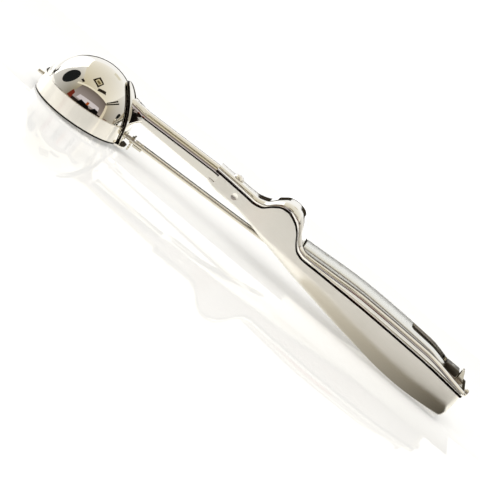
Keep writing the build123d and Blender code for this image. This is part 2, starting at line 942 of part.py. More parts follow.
def clamp_rivet():
    under = shelf_height - shelf_sheet
    shank = tube(clamp_rivet_radius, under, clamp_top(), Axis.Z, clamp_place())
    head_radius = clamp_rivet_radius * rivet_head_ratio
    head = tube(head_radius, under - clamp_rivet_head, under, Axis.Z, clamp_place())
    return shank + head


def rear_bracket():
    # A shelf for the spring, a leg against the rail's end and the folded cheeks over it
    half = shelf_width / 2
    under = shelf_height - shelf_sheet
    shelf = block((shelf_start, rail_inside), (-half, half), (under, shelf_height))
    thick = (rail_inside - shelf_sheet, rail_inside)
    leg = block(thick, (-leg_width / 2, leg_width / 2), (under - shelf_leg, shelf_height))
    tip = shelf_height + cheek_height
    points = [
        (cheek_start, shelf_height),
        (cheek_start, tip),
        (cheek_start + cheek_crown, tip),
        (rail_inside, shelf_height),
    ]
    wedge = extrude(Plane.XZ * make_face(Polyline(*points, close=True)), cheek_spread / 2, both=True)
    inside = cheek_spread / 2 - cheek_sheet
    hollow = block((0, cheek_start + 2 * cheek_sheet), (-inside, inside), (shelf_height, tip - cheek_sheet))
    return shelf + leg + (wedge - hollow) - clamp_rivet_hole() - end_rivet_shank()


def end_rivet_height():
    return crest(handle_end) - end_rivet_drop


def end_rivet_shank():
    return tube(end_rivet_radius, rail_inside - shelf_sheet, rail_rear, Axis.X, (0, end_rivet_height()))


def end_rivet():
    place = (0, end_rivet_height())
    head_start = rail_rear + end_rivet_collar
    collar = tube(end_rivet_collar_radius, rail_rear, head_start, Axis.X, place)
    head = tube(end_rivet_head, head_start, head_start + end_rivet_head_height, Axis.X, place)
    head = fillet(head.edges().group_by(Axis.X)[-1], end_rivet_head_round)
    return end_rivet_shank() + collar + head


pieces = {
    "bowl": bowl,
    "bowl_band": bowl_band,
    "bowl_saddle": bowl_saddle,
    "rear_bush": rear_bush,
    "scraper_blade": scraper_blade,
    "scraper_front_pin": scraper_front_pin,
    "scraper_rear_axle": scraper_rear_axle,
    "pinion": pinion,
    "pinion_washer": pinion_washer,
    "neck": neck,
    "shaft": shaft,
    "shaft_rivet": shaft_rivet,
    "handle_body": handle_body,
    "top_rail": top_rail,
    "pivot_pin": pivot_pin,
    "pivot_spacers": pivot_spacers,
    "lever_bar": lever_bar,
    "hinge_bracket": hinge_bracket,
    "hinge_rivets": hinge_rivets,
    "rack": rack,
    "rack_rivets": rack_rivets,
    "grip_plate": grip_plate,
    "plate_rivets": plate_rivets,
    "leaf_spring": leaf_spring,
    "spring_clamp": spring_clamp,
    "clamp_rivet": clamp_rivet,
    "rear_bracket": rear_bracket,
    "end_rivet": end_rivet,
}

os.makedirs("parts", exist_ok=True)
for name, make in pieces.items():
    export_step(set_down * make(), f"parts/{name}.step")

print("lever travel, degrees:", round(math.degrees(lever_travel), 3))
print("scraper turn for each turn of the lever:", round(lever_arm / pitch_radius, 4))
print("moved down by:", tuple(round(v, 4) for v in set_down.position))
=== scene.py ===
import math

import bmesh
import bpy
from mathutils import Matrix, Vector


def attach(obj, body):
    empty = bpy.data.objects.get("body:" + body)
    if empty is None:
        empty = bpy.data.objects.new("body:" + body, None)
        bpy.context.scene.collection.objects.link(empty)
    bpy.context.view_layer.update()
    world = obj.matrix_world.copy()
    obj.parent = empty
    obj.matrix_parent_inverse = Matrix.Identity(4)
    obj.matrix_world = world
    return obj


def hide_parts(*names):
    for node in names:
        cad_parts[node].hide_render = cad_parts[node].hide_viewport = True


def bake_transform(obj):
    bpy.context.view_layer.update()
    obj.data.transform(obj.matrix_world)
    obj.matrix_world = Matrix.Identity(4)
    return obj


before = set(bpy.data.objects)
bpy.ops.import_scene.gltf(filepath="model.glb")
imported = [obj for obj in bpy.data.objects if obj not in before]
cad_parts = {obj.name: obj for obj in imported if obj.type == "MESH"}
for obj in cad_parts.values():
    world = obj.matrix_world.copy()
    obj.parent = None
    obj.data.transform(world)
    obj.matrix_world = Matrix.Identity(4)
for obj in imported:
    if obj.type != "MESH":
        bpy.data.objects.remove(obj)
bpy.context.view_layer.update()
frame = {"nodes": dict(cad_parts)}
nodes = frame["nodes"]
print("frame loaded,", len(nodes), "nodes")

# Everything is drawn in millimetres from the middle of the bowl, then set down in the frame
frameShift = Vector((-96.9682, 0, 6.5122))
pitch = 3.0
pitchTurn = Matrix.Rotation(math.radians(-pitch), 4, "Y")
alongX = Matrix.Rotation(math.radians(90), 4, "Y")
setDown = Matrix.Scale(0.001, 4) @ Matrix.Translation(frameShift)


def toFrame(x, y, z):
    return setDown @ Vector((x, y, z))


# Nodes and colours


def hexColor(text):
    # An sRGB hex value as a linear colour
    parts = [int(text[i:i + 2], 16) / 255 for i in (1, 3, 5)]
    linear = [p / 12.92 if p <= 0.04045 else ((p + 0.055) / 1.055) ** 2.4 for p in parts]
    return (*linear, 1.0)


def addNode(tree, kind, settings=None, links=None):
    # A key is a property's name, or an input's name or number.
    # A link starts at a socket, or at the first one of a node
    node = tree.nodes.new(kind)
    for key, value in (settings or {}).items():
        if isinstance(key, str) and hasattr(node, key):
            setattr(node, key, value)
        else:
            node.inputs[key].default_value = value
    for key, source in (links or {}).items():
        tree.links.new(source.outputs[0] if hasattr(source, "outputs") else source, node.inputs[key])
    return node


def newMaterial(name):
    material = bpy.data.materials.new(name)
    material.use_nodes = True
    tree = material.node_tree
    return material, tree, tree.nodes["Principled BSDF"]


def polishedSteel(name, color, roughness, wave, grain=(0.25, 1.0, 1.0), scratch=(0.5, 0.08)):
    # Stainless buffed on a wheel: a mirror with faint waves from the pressing and very fine scratches.
    # A wave has a length and a height in millimetres, and scratches have a size and a strength
    material, tree, shader = newMaterial(name)
    place = addNode(tree, "ShaderNodeTexCoord").outputs["Object"]
    waves = addNode(
        tree, "ShaderNodeTexNoise", {"Scale": 1000 / wave[0], "Detail": 1.5, "Roughness": 0.4},
        {"Vector": place},
    )
    buffing = addNode(tree, "ShaderNodeMapping", {"Scale": grain}, {"Vector": place})
    scratches = addNode(
        tree, "ShaderNodeTexNoise", {"Scale": 1000 / scratch[0], "Detail": 3.0}, {"Vector": buffing},
    ).outputs["Fac"]
    rough = addNode(
        tree, "ShaderNodeMapRange", {"To Min": roughness * 0.7, "To Max": roughness * 1.5},
        {"Value": scratches},
    )
    bump = addNode(
        tree, "ShaderNodeBump", {"Strength": 1.0, "Distance": wave[1] * 0.001},
        {"Height": waves.outputs["Fac"]},
    )
    fine = addNode(
        tree, "ShaderNodeBump", {"Strength": scratch[1], "Distance": 0.00001},
        {"Height": scratches, "Normal": bump},
    )
    shader.inputs["Base Color"].default_value = hexColor(color)
    shader.inputs["Metallic"].default_value = 1.0
    tree.links.new(rough.outputs[0], shader.inputs["Roughness"])
    tree.links.new(fine.outputs[0], shader.inputs["Normal"])
    return material


def brushedSteel(name, color, lineColor, roughness, line, grain=(0.03, 1.0, 1.0)):
    # Stainless drawn over a belt: short fine lines, which spread highlights sideways.
    # The lines have a spacing in millimetres and a strength
    material, tree, shader = newMaterial(name)
    place = addNode(tree, "ShaderNodeTexCoord").outputs["Object"]
    stretch = addNode(tree, "ShaderNodeMapping", {"Scale": grain}, {"Vector": place})
    lines = addNode(
        tree, "ShaderNodeTexNoise", {"Scale": 1000 / line[0], "Detail": 4.0, "Roughness": 0.6},
        {"Vector": stretch},
    ).outputs["Fac"]
    cloud = addNode(tree, "ShaderNodeTexNoise", {"Scale": 1000 / 14, "Detail": 2.0}, {"Vector": place})
    tone = addNode(
        tree, "ShaderNodeMix", {"data_type": "RGBA", 6: hexColor(color), 7: hexColor(lineColor)},
        {0: lines},
    )
    rough = addNode(
        tree, "ShaderNodeMapRange", {"To Min": roughness * 0.85, "To Max": roughness * 1.2},
        {"Value": cloud.outputs["Fac"]},
    )
    bump = addNode(tree, "ShaderNodeBump", {"Strength": line[1], "Distance": 0.00003}, {"Height": lines})
    shader.inputs["Metallic"].default_value = 1.0
    tree.links.new(tone.outputs[2], shader.inputs["Base Color"])
    tree.links.new(rough.outputs[0], shader.inputs["Roughness"])
    tree.links.new(bump.outputs[0], shader.inputs["Normal"])
    return material


mirror = polishedSteel(
    "polished stainless", color="#f4f1e9", roughness=0.035, wave=(9.0, 0.012),
)
crumpledMirror = polishedSteel(
    "polished stainless, drawn neck", color="#f2eee5", roughness=0.05, wave=(3.6, 0.24),
)
bandMirror = polishedSteel(
    "polished stainless, buffed band", color="#f1ede4", roughness=0.06,
    wave=(7.0, 0.012), grain=(1.0, 1.0, 0.05), scratch=(1.6, 1.0),
)
shaftMirror = polishedSteel(
    "polished stainless, formed shaft", color="#f2eee4", roughness=0.05,
    wave=(8.0, 0.02), grain=(0.1, 1.0, 1.0), scratch=(0.5, 0.1),
)
# Painted shade: a dark steel laid on the faces where shade falls, along the rail's lower edge, the band's
# foot and the saddle's edge
paintedShadeSteel = polishedSteel(
    "tarnished steel seam", color="#1d1814", roughness=0.3,
    wave=(4.0, 0.01), grain=(1.0, 1.0, 1.0), scratch=(1.0, 0.2),
)
satin = brushedSteel(
    "satin stainless", color="#fbf8f0", lineColor="#f1ede3", roughness=0.30,
    line=(0.25, 0.25),
)
satinPlate = brushedSteel(
    "satin stainless plate", color="#f1f1ec", lineColor="#e2e2dc", roughness=0.26,
    line=(0.3, 0.25),
)
plainSteel = brushedSteel(
    "stainless strip as rolled", color="#e6e0d0", lineColor="#d2cbb8", roughness=0.13,
    line=(0.3, 0.12), grain=(0.04, 1.0, 1.0),
)
turnedSteel = brushedSteel(
    "turned stainless", color="#e3ded2", lineColor="#c6c0b0", roughness=0.2,
    line=(0.2, 0.2), grain=(1.0, 0.1, 0.1),
)
springSteel = brushedSteel(
    "bright spring steel", color="#e0dccf", lineColor="#cfcabb", roughness=0.2,
    line=(0.3, 0.15), grain=(0.04, 1.0, 1.0),
)
# Painted shade: a dark steel that stands for the shade inside the rear bracket, laid on the spring clamp
shadedClampSteel = brushedSteel(
    "steel darkened with painted shade", color="#6b665a", lineColor="#57524a", roughness=0.3,
    line=(0.3, 0.15), grain=(0.3, 1.0, 1.0),
)

slotMaterials = {
    "polished_steel": mirror,
    "satin_steel": satin,
    "plain_steel": plainSteel,
    "turned_steel": turnedSteel,
    "spring_steel": springSteel,
}
for node in nodes.values():
    for place in node.material_slots:
        for slot, material in slotMaterials.items():
            if slot in place.material.name:
                place.material = material
print("materials on the frame's nodes")


# Curves along the handle, as lists of places and heights

handle = {
    "sheet": 0.9,
    "start": 66.0,
    "end": 217.5,
    "crest": [
        (66, 19.8), (88, 19.5), (93, 20.8), (97.5, 25.2), (101, 27.6), (105, 28.2), (109, 27.5),
        (112.5, 24.6), (116, 19.2), (119, 16.2), (122.5, 15.2), (135, 16.0), (157, 17.3), (192, 16.8),
        (217.5, 12.6),
    ],
    "band": [(66, 3.3), (103, 4.1), (110, 5.3), (121, 4.0), (157, 5.5), (192, 5.5), (217.5, 3.3)],
    "width": [(66, 10.5), (82, 10.5), (103, 20), (157, 24), (192, 25), (217.5, 22)],
    "low": [
        (66, 10.7), (73, 9.5), (82, 9.5), (103, 6.3), (125, 1.6), (157, -3.6), (192, -6.5122), (217.5, -5.3),
    ],
    "corner": [(66, 0.6), (82, 0.6), (150, 9), (217.5, 9)],
    "shoulder": [(66, 2.5), (90, 2.5), (101.5, 3.3), (108.5, 3.3), (121, 2.0), (217.5, 2.0)],
    "crown": [(66, 2.5), (90, 3.0), (100, 7.0), (110, 7.0), (121, 2.4), (217.5, 2.0)],
    "plate": [(119.3, 17.6), (157, 19.8), (192, 18.8), (202.2, 17.0)],
}


def slopeAt(points, i):
    def secant(k):
        return (points[k + 1][1] - points[k][1]) / (points[k + 1][0] - points[k][0])
    if i == 0:
        return secant(0)
    if i == len(points) - 1:
        return secant(i - 1)
    before, after = secant(i - 1), secant(i)
    return 0.0 if before * after <= 0 else 2 * before * after / (before + after)


def along(points, x):
    # The smooth curve through the points, which never passes a high or low one
    if x <= points[0][0]:
        return points[0][1] + slopeAt(points, 0) * (x - points[0][0])
    if x >= points[-1][0]:
        return points[-1][1] + slopeAt(points, len(points) - 1) * (x - points[-1][0])
    i = max(k for k in range(len(points) - 1) if points[k][0] <= x)
    run = points[i + 1][0] - points[i][0]
    t = (x - points[i][0]) / run
    rise = points[i + 1][1] - points[i][1]
    bend = run * (1 - t) * (slopeAt(points, i) * (1 - t) - slopeAt(points, i + 1) * t)
    return points[i][1] + rise * t * t * (3 - 2 * t) + bend * t


def crest(x):
    return along(handle["crest"], x)


def seam(x):
    return crest(x) - along(handle["band"], x)


def halfWidth(x):
    return along(handle["width"], x) / 2


def spread(start, end, count):
    return [start + (end - start) * i / count for i in range(count + 1)]


def arc(start, end, count):
    # Evenly spread angles: degrees in, radians out
    return [math.radians(turn) for turn in spread(start, end, count)]


def bothSides(x, side, shared=0):
    # A ring across the handle from its near side's (across, up) points; shared ones lie in the middle
    far = reversed(side[:len(side) - shared])
    return [(x, y, z) for y, z in side] + [(x, -y, z) for y, z in far]


# Meshes


def skinRings(bm, rings, closedRing=True):
    # Joins rings of equal length with four-sided faces
    rows = [[bm.verts.new(point) for point in ring] for ring in rings]
    for a, b in zip(rows, rows[1:]):
        count = len(a)
        for i in range(count if closedRing else count - 1):
            k = (i + 1) % count
            bm.faces.new((a[i], a[k], b[k], b[i]))
    return rows


def joinRows(bm, outer, inner):
    # Closes the edge between two skins
    for i in range(len(outer)):
        k = (i + 1) % len(outer)
        bm.faces.new((outer[i], outer[k], inner[k], inner[i]))


def solidRings(bm, rings):
    # The skin over the rings with a face at each end
    rows = skinRings(bm, rings)
    bm.faces.new(rows[0])
    bm.faces.new(rows[-1])


def prism(bm, outline, low, high):
    solidRings(bm, [[(x, y, z) for x, y in outline] for z in (low, high)])


def boxMesh(bm, x, y, z):
    prism(bm, ((x[0], y[0]), (x[1], y[0]), (x[1], y[1]), (x[0], y[1])), *z)


def addPiece(name, bm):
    mesh = bpy.data.meshes.new(name)
    bm.to_mesh(mesh)
    bm.free()
    piece = bpy.data.objects.new(name, mesh)
    bpy.context.scene.collection.objects.link(piece)
    return piece


def toMesh(name, bm, *turns):
    # Closes what was drawn in millimetres, faces it outward, turns it and sets it down
    bmesh.ops.remove_doubles(bm, verts=bm.verts, dist=0.0005)
    bmesh.ops.recalc_face_normals(bm, faces=bm.faces)
    for turn in (*turns, setDown):
        bmesh.ops.transform(bm, matrix=turn, verts=bm.verts)
    return addPiece(name, bm)


def ringMesh(name, rings):
    bm = bmesh.new()
    solidRings(bm, rings)
    return toMesh(name, bm)


def bake(piece):
    # The modifiers' result becomes the piece's own mesh
    bpy.context.view_layer.update()
    evaluated = piece.evaluated_get(bpy.context.evaluated_depsgraph_get())
    mesh = bpy.data.meshes.new_from_object(evaluated)
    piece.modifiers.clear()
    piece.data = mesh
    mesh.name = piece.name


def shade(piece, material, angle=40):
    mesh = piece.data
    mesh.materials.clear()
    mesh.materials.append(material)
    for face in mesh.polygons:
        face.material_index = 0
    mesh.shade_smooth()
    mesh.set_sharp_from_angle(angle=math.radians(angle))


def paintShade(piece, isShaded):
    # The faces that pass the test, given in the handle's millimetres, turn dark with painted shade
    piece.data.materials.append(paintedShadeSteel)
    for face in piece.data.polygons:
        if isShaded(*(across * 1000 - shift for across, shift in zip(face.center, frameShift))):
            face.material_index = 1


def cutWith(piece, cutter):
    # A cutter reaches well past the piece on every side that it opens
    cut = piece.modifiers.new("cut", "BOOLEAN")
    cut.operation = "DIFFERENCE"
    cut.solver = "EXACT"
    cut.object = cutter
    bake(piece)
    bpy.data.objects.remove(cutter)


def cutPrism(piece, outline, low, high):
    cutter = bmesh.new()
    prism(cutter, outline, low, high)
    cutWith(piece, toMesh("cutter", cutter))


def roundEdges(piece, width, angle=40, segments=2):
    # Width in millimetres; flat faces stay flat beside the rounded edges
    bevel = piece.modifiers.new("edges", "BEVEL")
    bevel.width = width * 0.001
    bevel.segments = segments
    bevel.limit_method = "ANGLE"
    bevel.angle_limit = math.radians(angle)
    bevel.miter_outer = "MITER_ARC"
    bake(piece)


def evenNormals(piece):
    piece.modifiers.new("normals", "WEIGHTED_NORMAL").keep_sharp = True
    bake(piece)


def finishPiece(piece, body, slot, *replaced):
    if replaced:
        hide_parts(*replaced)
    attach(piece, body)


# Top rail: one pressing with the thumb bump, and the beaded rim round the mouth

rail = {
    "proud": 0.3,
    "width": 2.4,
    "start": 66.6,
    "mouthStart": 118.5,
    "inside": 215.4,
    "end": 217.8,
    "endRound": 0.55,
    "lowRound": 0.7,
    "grooveAbove": 1.35,  # from the lower edge up to the middle of the groove
    "grooveWidth": 2.1,
    "grooveDepth": 0.38,
    "stations": 190,
    "edge": 0.22,
    "seam": 1.15,  # the painted shade strip, from the lower edge up
}


def railInset(t, height, shoulder, crown):
    # How far the side lies inside its widest place, at t below the crest
    inset = 0.0
    if t < shoulder:
        inset += crown * (1 - math.sqrt(max(1 - (1 - t / shoulder) ** 2, 0)))
    rise = rail["lowRound"] - (height - t)
    if rise > 0:
        inset += rail["lowRound"] - math.sqrt(max(rail["lowRound"] ** 2 - rise**2, 0))
    u = (height - t - rail["grooveAbove"]) / (rail["grooveWidth"] / 2)
    if abs(u) < 1:
        inset += rail["grooveDepth"] * (1 + math.cos(math.pi * u)) / 2
    return inset


def railRing(x, shrink=0.0):
    height = along(handle["band"], x)
    shoulder = min(along(handle["shoulder"], x), height - rail["lowRound"])
    half = halfWidth(x) + rail["proud"] - shrink
    top = crest(x) - shrink
    height = height - 2 * shrink
    depths = [shoulder * (1 - math.sin(a)) for a in arc(90, 6, 18)]
    depths += spread(depths[-1], height - rail["lowRound"], 22)[1:]
    depths += [height - rail["lowRound"] * (1 - math.sin(math.radians(turn))) for turn in (25, 50, 70, 90)]
    crown = along(handle["crown"], x)
    return bothSides(x, [(-(half - railInset(t, height, shoulder, crown)), top - t) for t in depths])


def makeRail():
    flat = rail["end"] - rail["endRound"]
    rings = [railRing(x) for x in spread(rail["start"], flat, rail["stations"])]
    for turn in (22, 45, 68, 90):
        a = math.radians(turn)
        rings.append(railRing(flat + rail["endRound"] * math.sin(a), rail["endRound"] * (1 - math.cos(a))))
    piece = ringMesh("topRail", rings)

    under = []
    for x in spread(60, rail["mouthStart"], 80):
        half = halfWidth(x) + rail["proud"] - handle["sheet"]
        top = crest(x) - handle["sheet"]
        bend = along(handle["shoulder"], x) - handle["sheet"]
        side = [(-half, seam(x) - 3.6)]
        for a in arc(0, 90, 8):
            side.append((-(half - bend + bend * math.cos(a)), top - bend + bend * math.sin(a)))
        under.append(bothSides(x, side))
    cutWith(piece, ringMesh("hollow", under))

    places = spread(rail["mouthStart"] - 0.01, rail["inside"], 60)
    near = [(x, -(halfWidth(x) + rail["proud"] - rail["width"])) for x in places]
    cutPrism(piece, near + [(x, -y) for x, y in reversed(near)], 0, 40)
    roundEdges(piece, rail["edge"], 50)
    shade(piece, mirror)
    # Painted shade: a dark strip along the rail's lower edge, where it stands proud of the trough
    paintShade(piece, lambda x, y, z: z < seam(x) + rail["seam"] and abs(y) > halfWidth(x) - 0.6)
    evenNormals(piece)
    finishPiece(piece, "frame", "polished_steel", "top_rail")


makeRail()
print("top rail made")


# Handle body: the satin trough under the rail

trough = {
    "stations": 150,
    "lap": 0.1,
    "endRound": 2.4,
    "slotWidth": 8.8,
    "slotEnd": 116.0,
    "slotTop": 10.6,  # leaves the floor's front end, which is higher
    "notchEnd": 69.0,
    "notchLow": 12.0,
    "stakeAt": 80.5,
    "stakeHeight": 13.0,
    "stakeRadius": 3.2,
    "stakeDepth": 0.45,
}


def troughRing(x, shrink=0.0):
    half = halfWidth(x) - shrink
    bottom = along(handle["low"], x) + shrink
    corner = max(along(handle["corner"], x) - shrink, 0.06)
    side = [(-half, z) for z in spread(seam(x) + trough["lap"], bottom + corner, 6)]
    for a in arc(0, 90, 10)[1:]:
        side.append((-(half - corner + corner * math.cos(a)), bottom + corner - corner * math.sin(a)))
    side += [(-(half - corner) * k, bottom) for k in (0.6, 0.3, 0)]
    return bothSides(x, side, 1)


def troughSkin(bm, sheet):
    # The outside, or the inside where the sheet's thickness is given
    flat, bend = handle["end"] - trough["endRound"], trough["endRound"] - sheet
    rings = [troughRing(x, sheet) for x in spread(handle["start"], flat, trough["stations"])]
    rings += [troughRing(flat + bend * math.sin(a), sheet + bend * (1 - math.cos(a))) for a in arc(15, 90, 5)]
    rows = skinRings(bm, rings, False)
    bm.faces.new(rows[-1])
    return rows


def makeTrough():
    bm = bmesh.new()
    outer = troughSkin(bm, 0.0)
    inner = troughSkin(bm, handle["sheet"])
    for edge in (0, -1):
        for k in range(len(outer) - 1):
            bm.faces.new((outer[k][edge], outer[k + 1][edge], inner[k + 1][edge], inner[k][edge]))
    for i in range(len(outer[0]) - 1):
        bm.faces.new((outer[0][i], outer[0][i + 1], inner[0][i + 1], inner[0][i]))
    bm.faces.new((outer[-1][0], outer[-1][-1], inner[-1][-1], inner[-1][0]))
    piece = toMesh("handleTrough", bm)

    half, end = trough["slotWidth"] / 2, trough["slotEnd"]
    slot = [(end + half * math.cos(a), half * math.sin(a)) for a in arc(-90, 90, 24)[1:-1]]
    cutPrism(piece, [(40, -half), (end, -half)] + slot + [(end, half), (40, half)], -20, trough["slotTop"])
    notch = bmesh.new()
    boxMesh(notch, (40, trough["notchEnd"]), (-12, 12), (trough["notchLow"], 30))
    cutWith(piece, toMesh("notch", notch))
    for side in (-1, 1):
        dimple = bmesh.new()
        away = handle["width"][0][1] / 2 + trough["stakeRadius"] - trough["stakeDepth"]
        place = Matrix.Translation((trough["stakeAt"], side * away, trough["stakeHeight"]))
        bmesh.ops.create_uvsphere(
            dimple, u_segments=48, v_segments=32, radius=trough["stakeRadius"], matrix=place,
        )
        cutWith(piece, toMesh("dimple", dimple))
    shade(piece, satin, 30)
    evenNormals(piece)
    finishPiece(piece, "frame", "satin_steel", "handle_body")


makeTrough()
print("handle trough made")


# Outlines, turned pieces and node trees


def rounded(corners, count=5):
    # A closed outline from (across, up, radius) corners, each one rounded
    outline = []
    for i, (across, up, radius) in enumerate(corners):
        here = Vector((across, up))
        if radius <= 0:
            outline.append(here)
            continue
        before = (Vector(corners[i - 1][:2]) - here).normalized()
        after = (Vector(corners[(i + 1) % len(corners)][:2]) - here).normalized()
        half = before.angle(after) / 2
        middle = here + (before + after).normalized() * radius / math.sin(half)
        first = here + before * radius / math.tan(half) - middle
        last = here + after * radius / math.tan(half) - middle
        outline += [middle + first.lerp(last, k / count).normalized() * radius for k in range(count + 1)]
    return outline


def strip(half, thick, edge, count):
    # The outline of a flat bar with rounded edges
    corners = [(-half, -thick), (half, -thick), (half, thick), (-half, thick)]
    return rounded([(*corner, edge) for corner in corners], count)


def turned(name, profile, *turns, at=0, steps=48):
    # Revolves (radius, height) points about an upright axis at a place along the handle
    rings = []
    for a in arc(0, 360, steps):
        rings.append([(at + r * math.cos(a), r * math.sin(a), up) for r, up in profile])
    bm = bmesh.new()
    skinRings(bm, rings)
    return toMesh(name, bm, *turns)


def nodeTree(name, sizes):
    # An empty geometry tree, whose inputs are named for the sizes
    tree = bpy.data.node_groups.new(name, "GeometryNodeTree")
    tree.interface.new_socket("Geometry", in_out="OUTPUT", socket_type="NodeSocketGeometry")
    for label, value in sizes.items():
        kind = "NodeSocketInt" if isinstance(value, int) else "NodeSocketFloat"
        tree.interface.new_socket(label, in_out="INPUT", socket_type=kind)
    tree.interface.new_socket("Material", in_out="INPUT", socket_type="NodeSocketMaterial")
    return tree, tree.nodes.new("NodeGroupInput")


def endTree(tree, source, geometry):
    real = addNode(tree, "GeometryNodeRealizeInstances", {}, {0: geometry})
    links = {"Geometry": real, "Material": source.outputs["Material"]}
    addNode(tree, "NodeGroupOutput", {}, {0: addNode(tree, "GeometryNodeSetMaterial", {}, links)})


def runTree(name, tree, sizes, material, turn):
    # The tree's result in millimetres as a plain mesh, set down in the frame
    piece = bpy.data.objects.new(name, bpy.data.meshes.new(name))
    bpy.context.scene.collection.objects.link(piece)
    nodes = piece.modifiers.new("nodes", "NODES")
    nodes.node_group = tree
    values = dict(sizes, Material=material)
    for item in tree.interface.items_tree:
        if item.in_out == "INPUT":
            nodes[item.identifier] = values[item.name]
    bake(piece)
    bm = bmesh.new()
    bm.from_mesh(piece.data)
    bpy.data.objects.remove(piece)
    return toMesh(name, bm, turn)


# Bowl: half a ball on a straight skirt, drawn from one disc

bowl = {
    "radius": 22.8,
    "wall": 0.8,
    "skirt": 5.3,
    "around": 160,
    "along": 48,
    "bandRadius": 23.3,
    "bandTop": 3.8,
    "bandShadeHeight": 0.7,  # the painted shade strip, from the rim up
    "bandRound": 0.22,
    "axleHole": 0.85,
    "bushHole": 1.5,
}


def bowlTree():
    sizes = {"Radius": 1.0, "Skirt": 1.0, "Around": 1, "Along": 1}
    tree, source = nodeTree("bowl skin", sizes)
    grid = addNode(
        tree, "GeometryNodeMeshGrid", {"Size X": 1.0, "Size Y": 1.0},
        {"Vertices X": source.outputs["Around"], "Vertices Y": source.outputs["Along"]},
    )
    apart = addNode(tree, "ShaderNodeSeparateXYZ", {}, {0: addNode(tree, "GeometryNodeInputPosition")})
    # The grid's two directions become the turn about the axis and the run from the rim up to the pole
    values = {
        "radius": source.outputs["Radius"], "skirt": source.outputs["Skirt"],
        "across": apart.outputs["X"], "upright": apart.outputs["Y"],
    }
    for name, operation, first, second in (
        ("turn", "MULTIPLY", "across", 2 * math.pi),
        ("quarter", "MULTIPLY", "radius", math.pi / 2),
        ("whole", "ADD", "quarter", "skirt"),
        ("share", "ADD", "upright", 0.5),
        ("run", "MULTIPLY", "share", "whole"),
        ("straight", "MINIMUM", "run", "skirt"),
        ("past", "SUBTRACT", "run", "straight"),
        ("lean", "DIVIDE", "past", "radius"),
        ("outward", "COSINE", "lean", None),
        ("upward", "SINE", "lean", None),
        ("ring", "MULTIPLY", "outward", "radius"),
        ("rise", "MULTIPLY", "upward", "radius"),
        ("foot", "SUBTRACT", "straight", "skirt"),
        ("height", "ADD", "foot", "rise"),
        ("cosine", "COSINE", "turn", None),
        ("sine", "SINE", "turn", None),
        ("east", "MULTIPLY", "cosine", "ring"),
        ("north", "MULTIPLY", "sine", "ring"),
    ):
        settings, links = {"operation": operation}, {0: values[first]}
        if isinstance(second, str):
            links[1] = values[second]
        elif second is not None:
            settings[1] = second
        values[name] = addNode(tree, "ShaderNodeMath", settings, links)
    point = addNode(
        tree, "ShaderNodeCombineXYZ", {}, {0: values["east"], 1: values["north"], 2: values["height"]},
    )
    shaped = addNode(tree, "GeometryNodeSetPosition", {}, {"Geometry": grid, "Position": point})
    closed = addNode(tree, "GeometryNodeMergeByDistance", {"Distance": 0.01}, {"Geometry": shaped})
    endTree(tree, source, closed)
    return tree


def bowlHoles(piece):
    for radius, start, end in ((bowl["axleHole"], -30, 0), (bowl["bushHole"], 0, 30)):
        profile = [(0, start), (radius, start), (radius, end), (0, end)]
        cutWith(piece, turned("hole", profile, alongX, pitchTurn))


def onBowl(x, y, z):
    # A place in the bowl's own frame, which is pitched to the handle's
    return pitchTurn.inverted() @ Vector((x, y, z))


def makeBowl():
    sizes = {
        "Radius": bowl["radius"] - bowl["wall"],
        "Skirt": bowl["skirt"],
        "Around": bowl["around"] + 1,
        "Along": bowl["along"] + 1,
    }
    piece = runTree("scoopBowl", bowlTree(), sizes, mirror, pitchTurn)
    wall = piece.modifiers.new("wall", "SOLIDIFY")
    wall.thickness = bowl["wall"] * 0.001
    wall.offset = 1.0
    wall.use_even_offset = True
    bake(piece)
    bowlHoles(piece)
    shade(piece, mirror)
    evenNormals(piece)
    finishPiece(piece, "frame", "polished_steel", "bowl")

    low, top, radius = -bowl["skirt"], bowl["bandTop"], bowl["bandRadius"]
    seat = bowl["radius"] + 0.01
    inside = [(seat * math.cos(math.asin(z / bowl["radius"])), z) for z in spread(top, 0, 6)] + [(seat, low)]
    outside = rounded([
        (radius - 0.6, low - 3, 0), (radius, low, 0.12), (radius, low + bowl["bandShadeHeight"] + 0.05, 0),
        (radius, top, bowl["bandRound"]), (radius - 0.6, top, 0),
    ])
    profile = inside + [tuple(point) for point in outside[1:-1]]
    band = turned("bowlBand", profile, pitchTurn, steps=bowl["around"])
    bowlHoles(band)
    shade(band, bandMirror, 25)
    # Painted shade: a dark strip round the band's foot, for the shade under the rim
    dark = low + bowl["bandShadeHeight"]
    paintShade(band, lambda x, y, z: onBowl(x, y, z).z < dark and math.hypot(x, y) > radius - 0.3)
    evenNormals(band)
    finishPiece(band, "frame", "polished_steel", "bowl_band")


makeBowl()
print("bowl and band made")


# Saddle: the curved plate on the back of the bowl, with a ledge at its foot

saddle = {
    "inner": 23.3,
    "outer": 24.4,
    "reachUp": 15.5,
    "reachSide": 8.2,
    "lean": 23.0,
    "edge": 0.28,
    "lipLength": 2.2,
    "lipHalf": 7.0,
    "lipCorner": 4.2,
    "lipThick": 1.0,
}


def onDome(side, height, radius):
    # Where a line along the saddle's middle meets the bowl's shape of this radius
    lean = math.radians(saddle["lean"])
    if side**2 + height**2 < radius**2:
        deep = math.sqrt(radius**2 - side**2 - height**2)
        z = deep * math.sin(lean) + height * math.cos(lean)
        if z >= 0:
            return deep * math.cos(lean) - height * math.sin(lean), side, z
    x = math.sqrt(radius**2 - side**2)
    t = (x + height * math.sin(lean)) / math.cos(lean)
    return x, side, height * math.cos(lean) + t * math.sin(lean)


def domeReach(place):
    # How far out a place lies, from the bowl's center or from its axis below the rim of the dome
    return place.length if place.z > 0 else place.to_2d().length


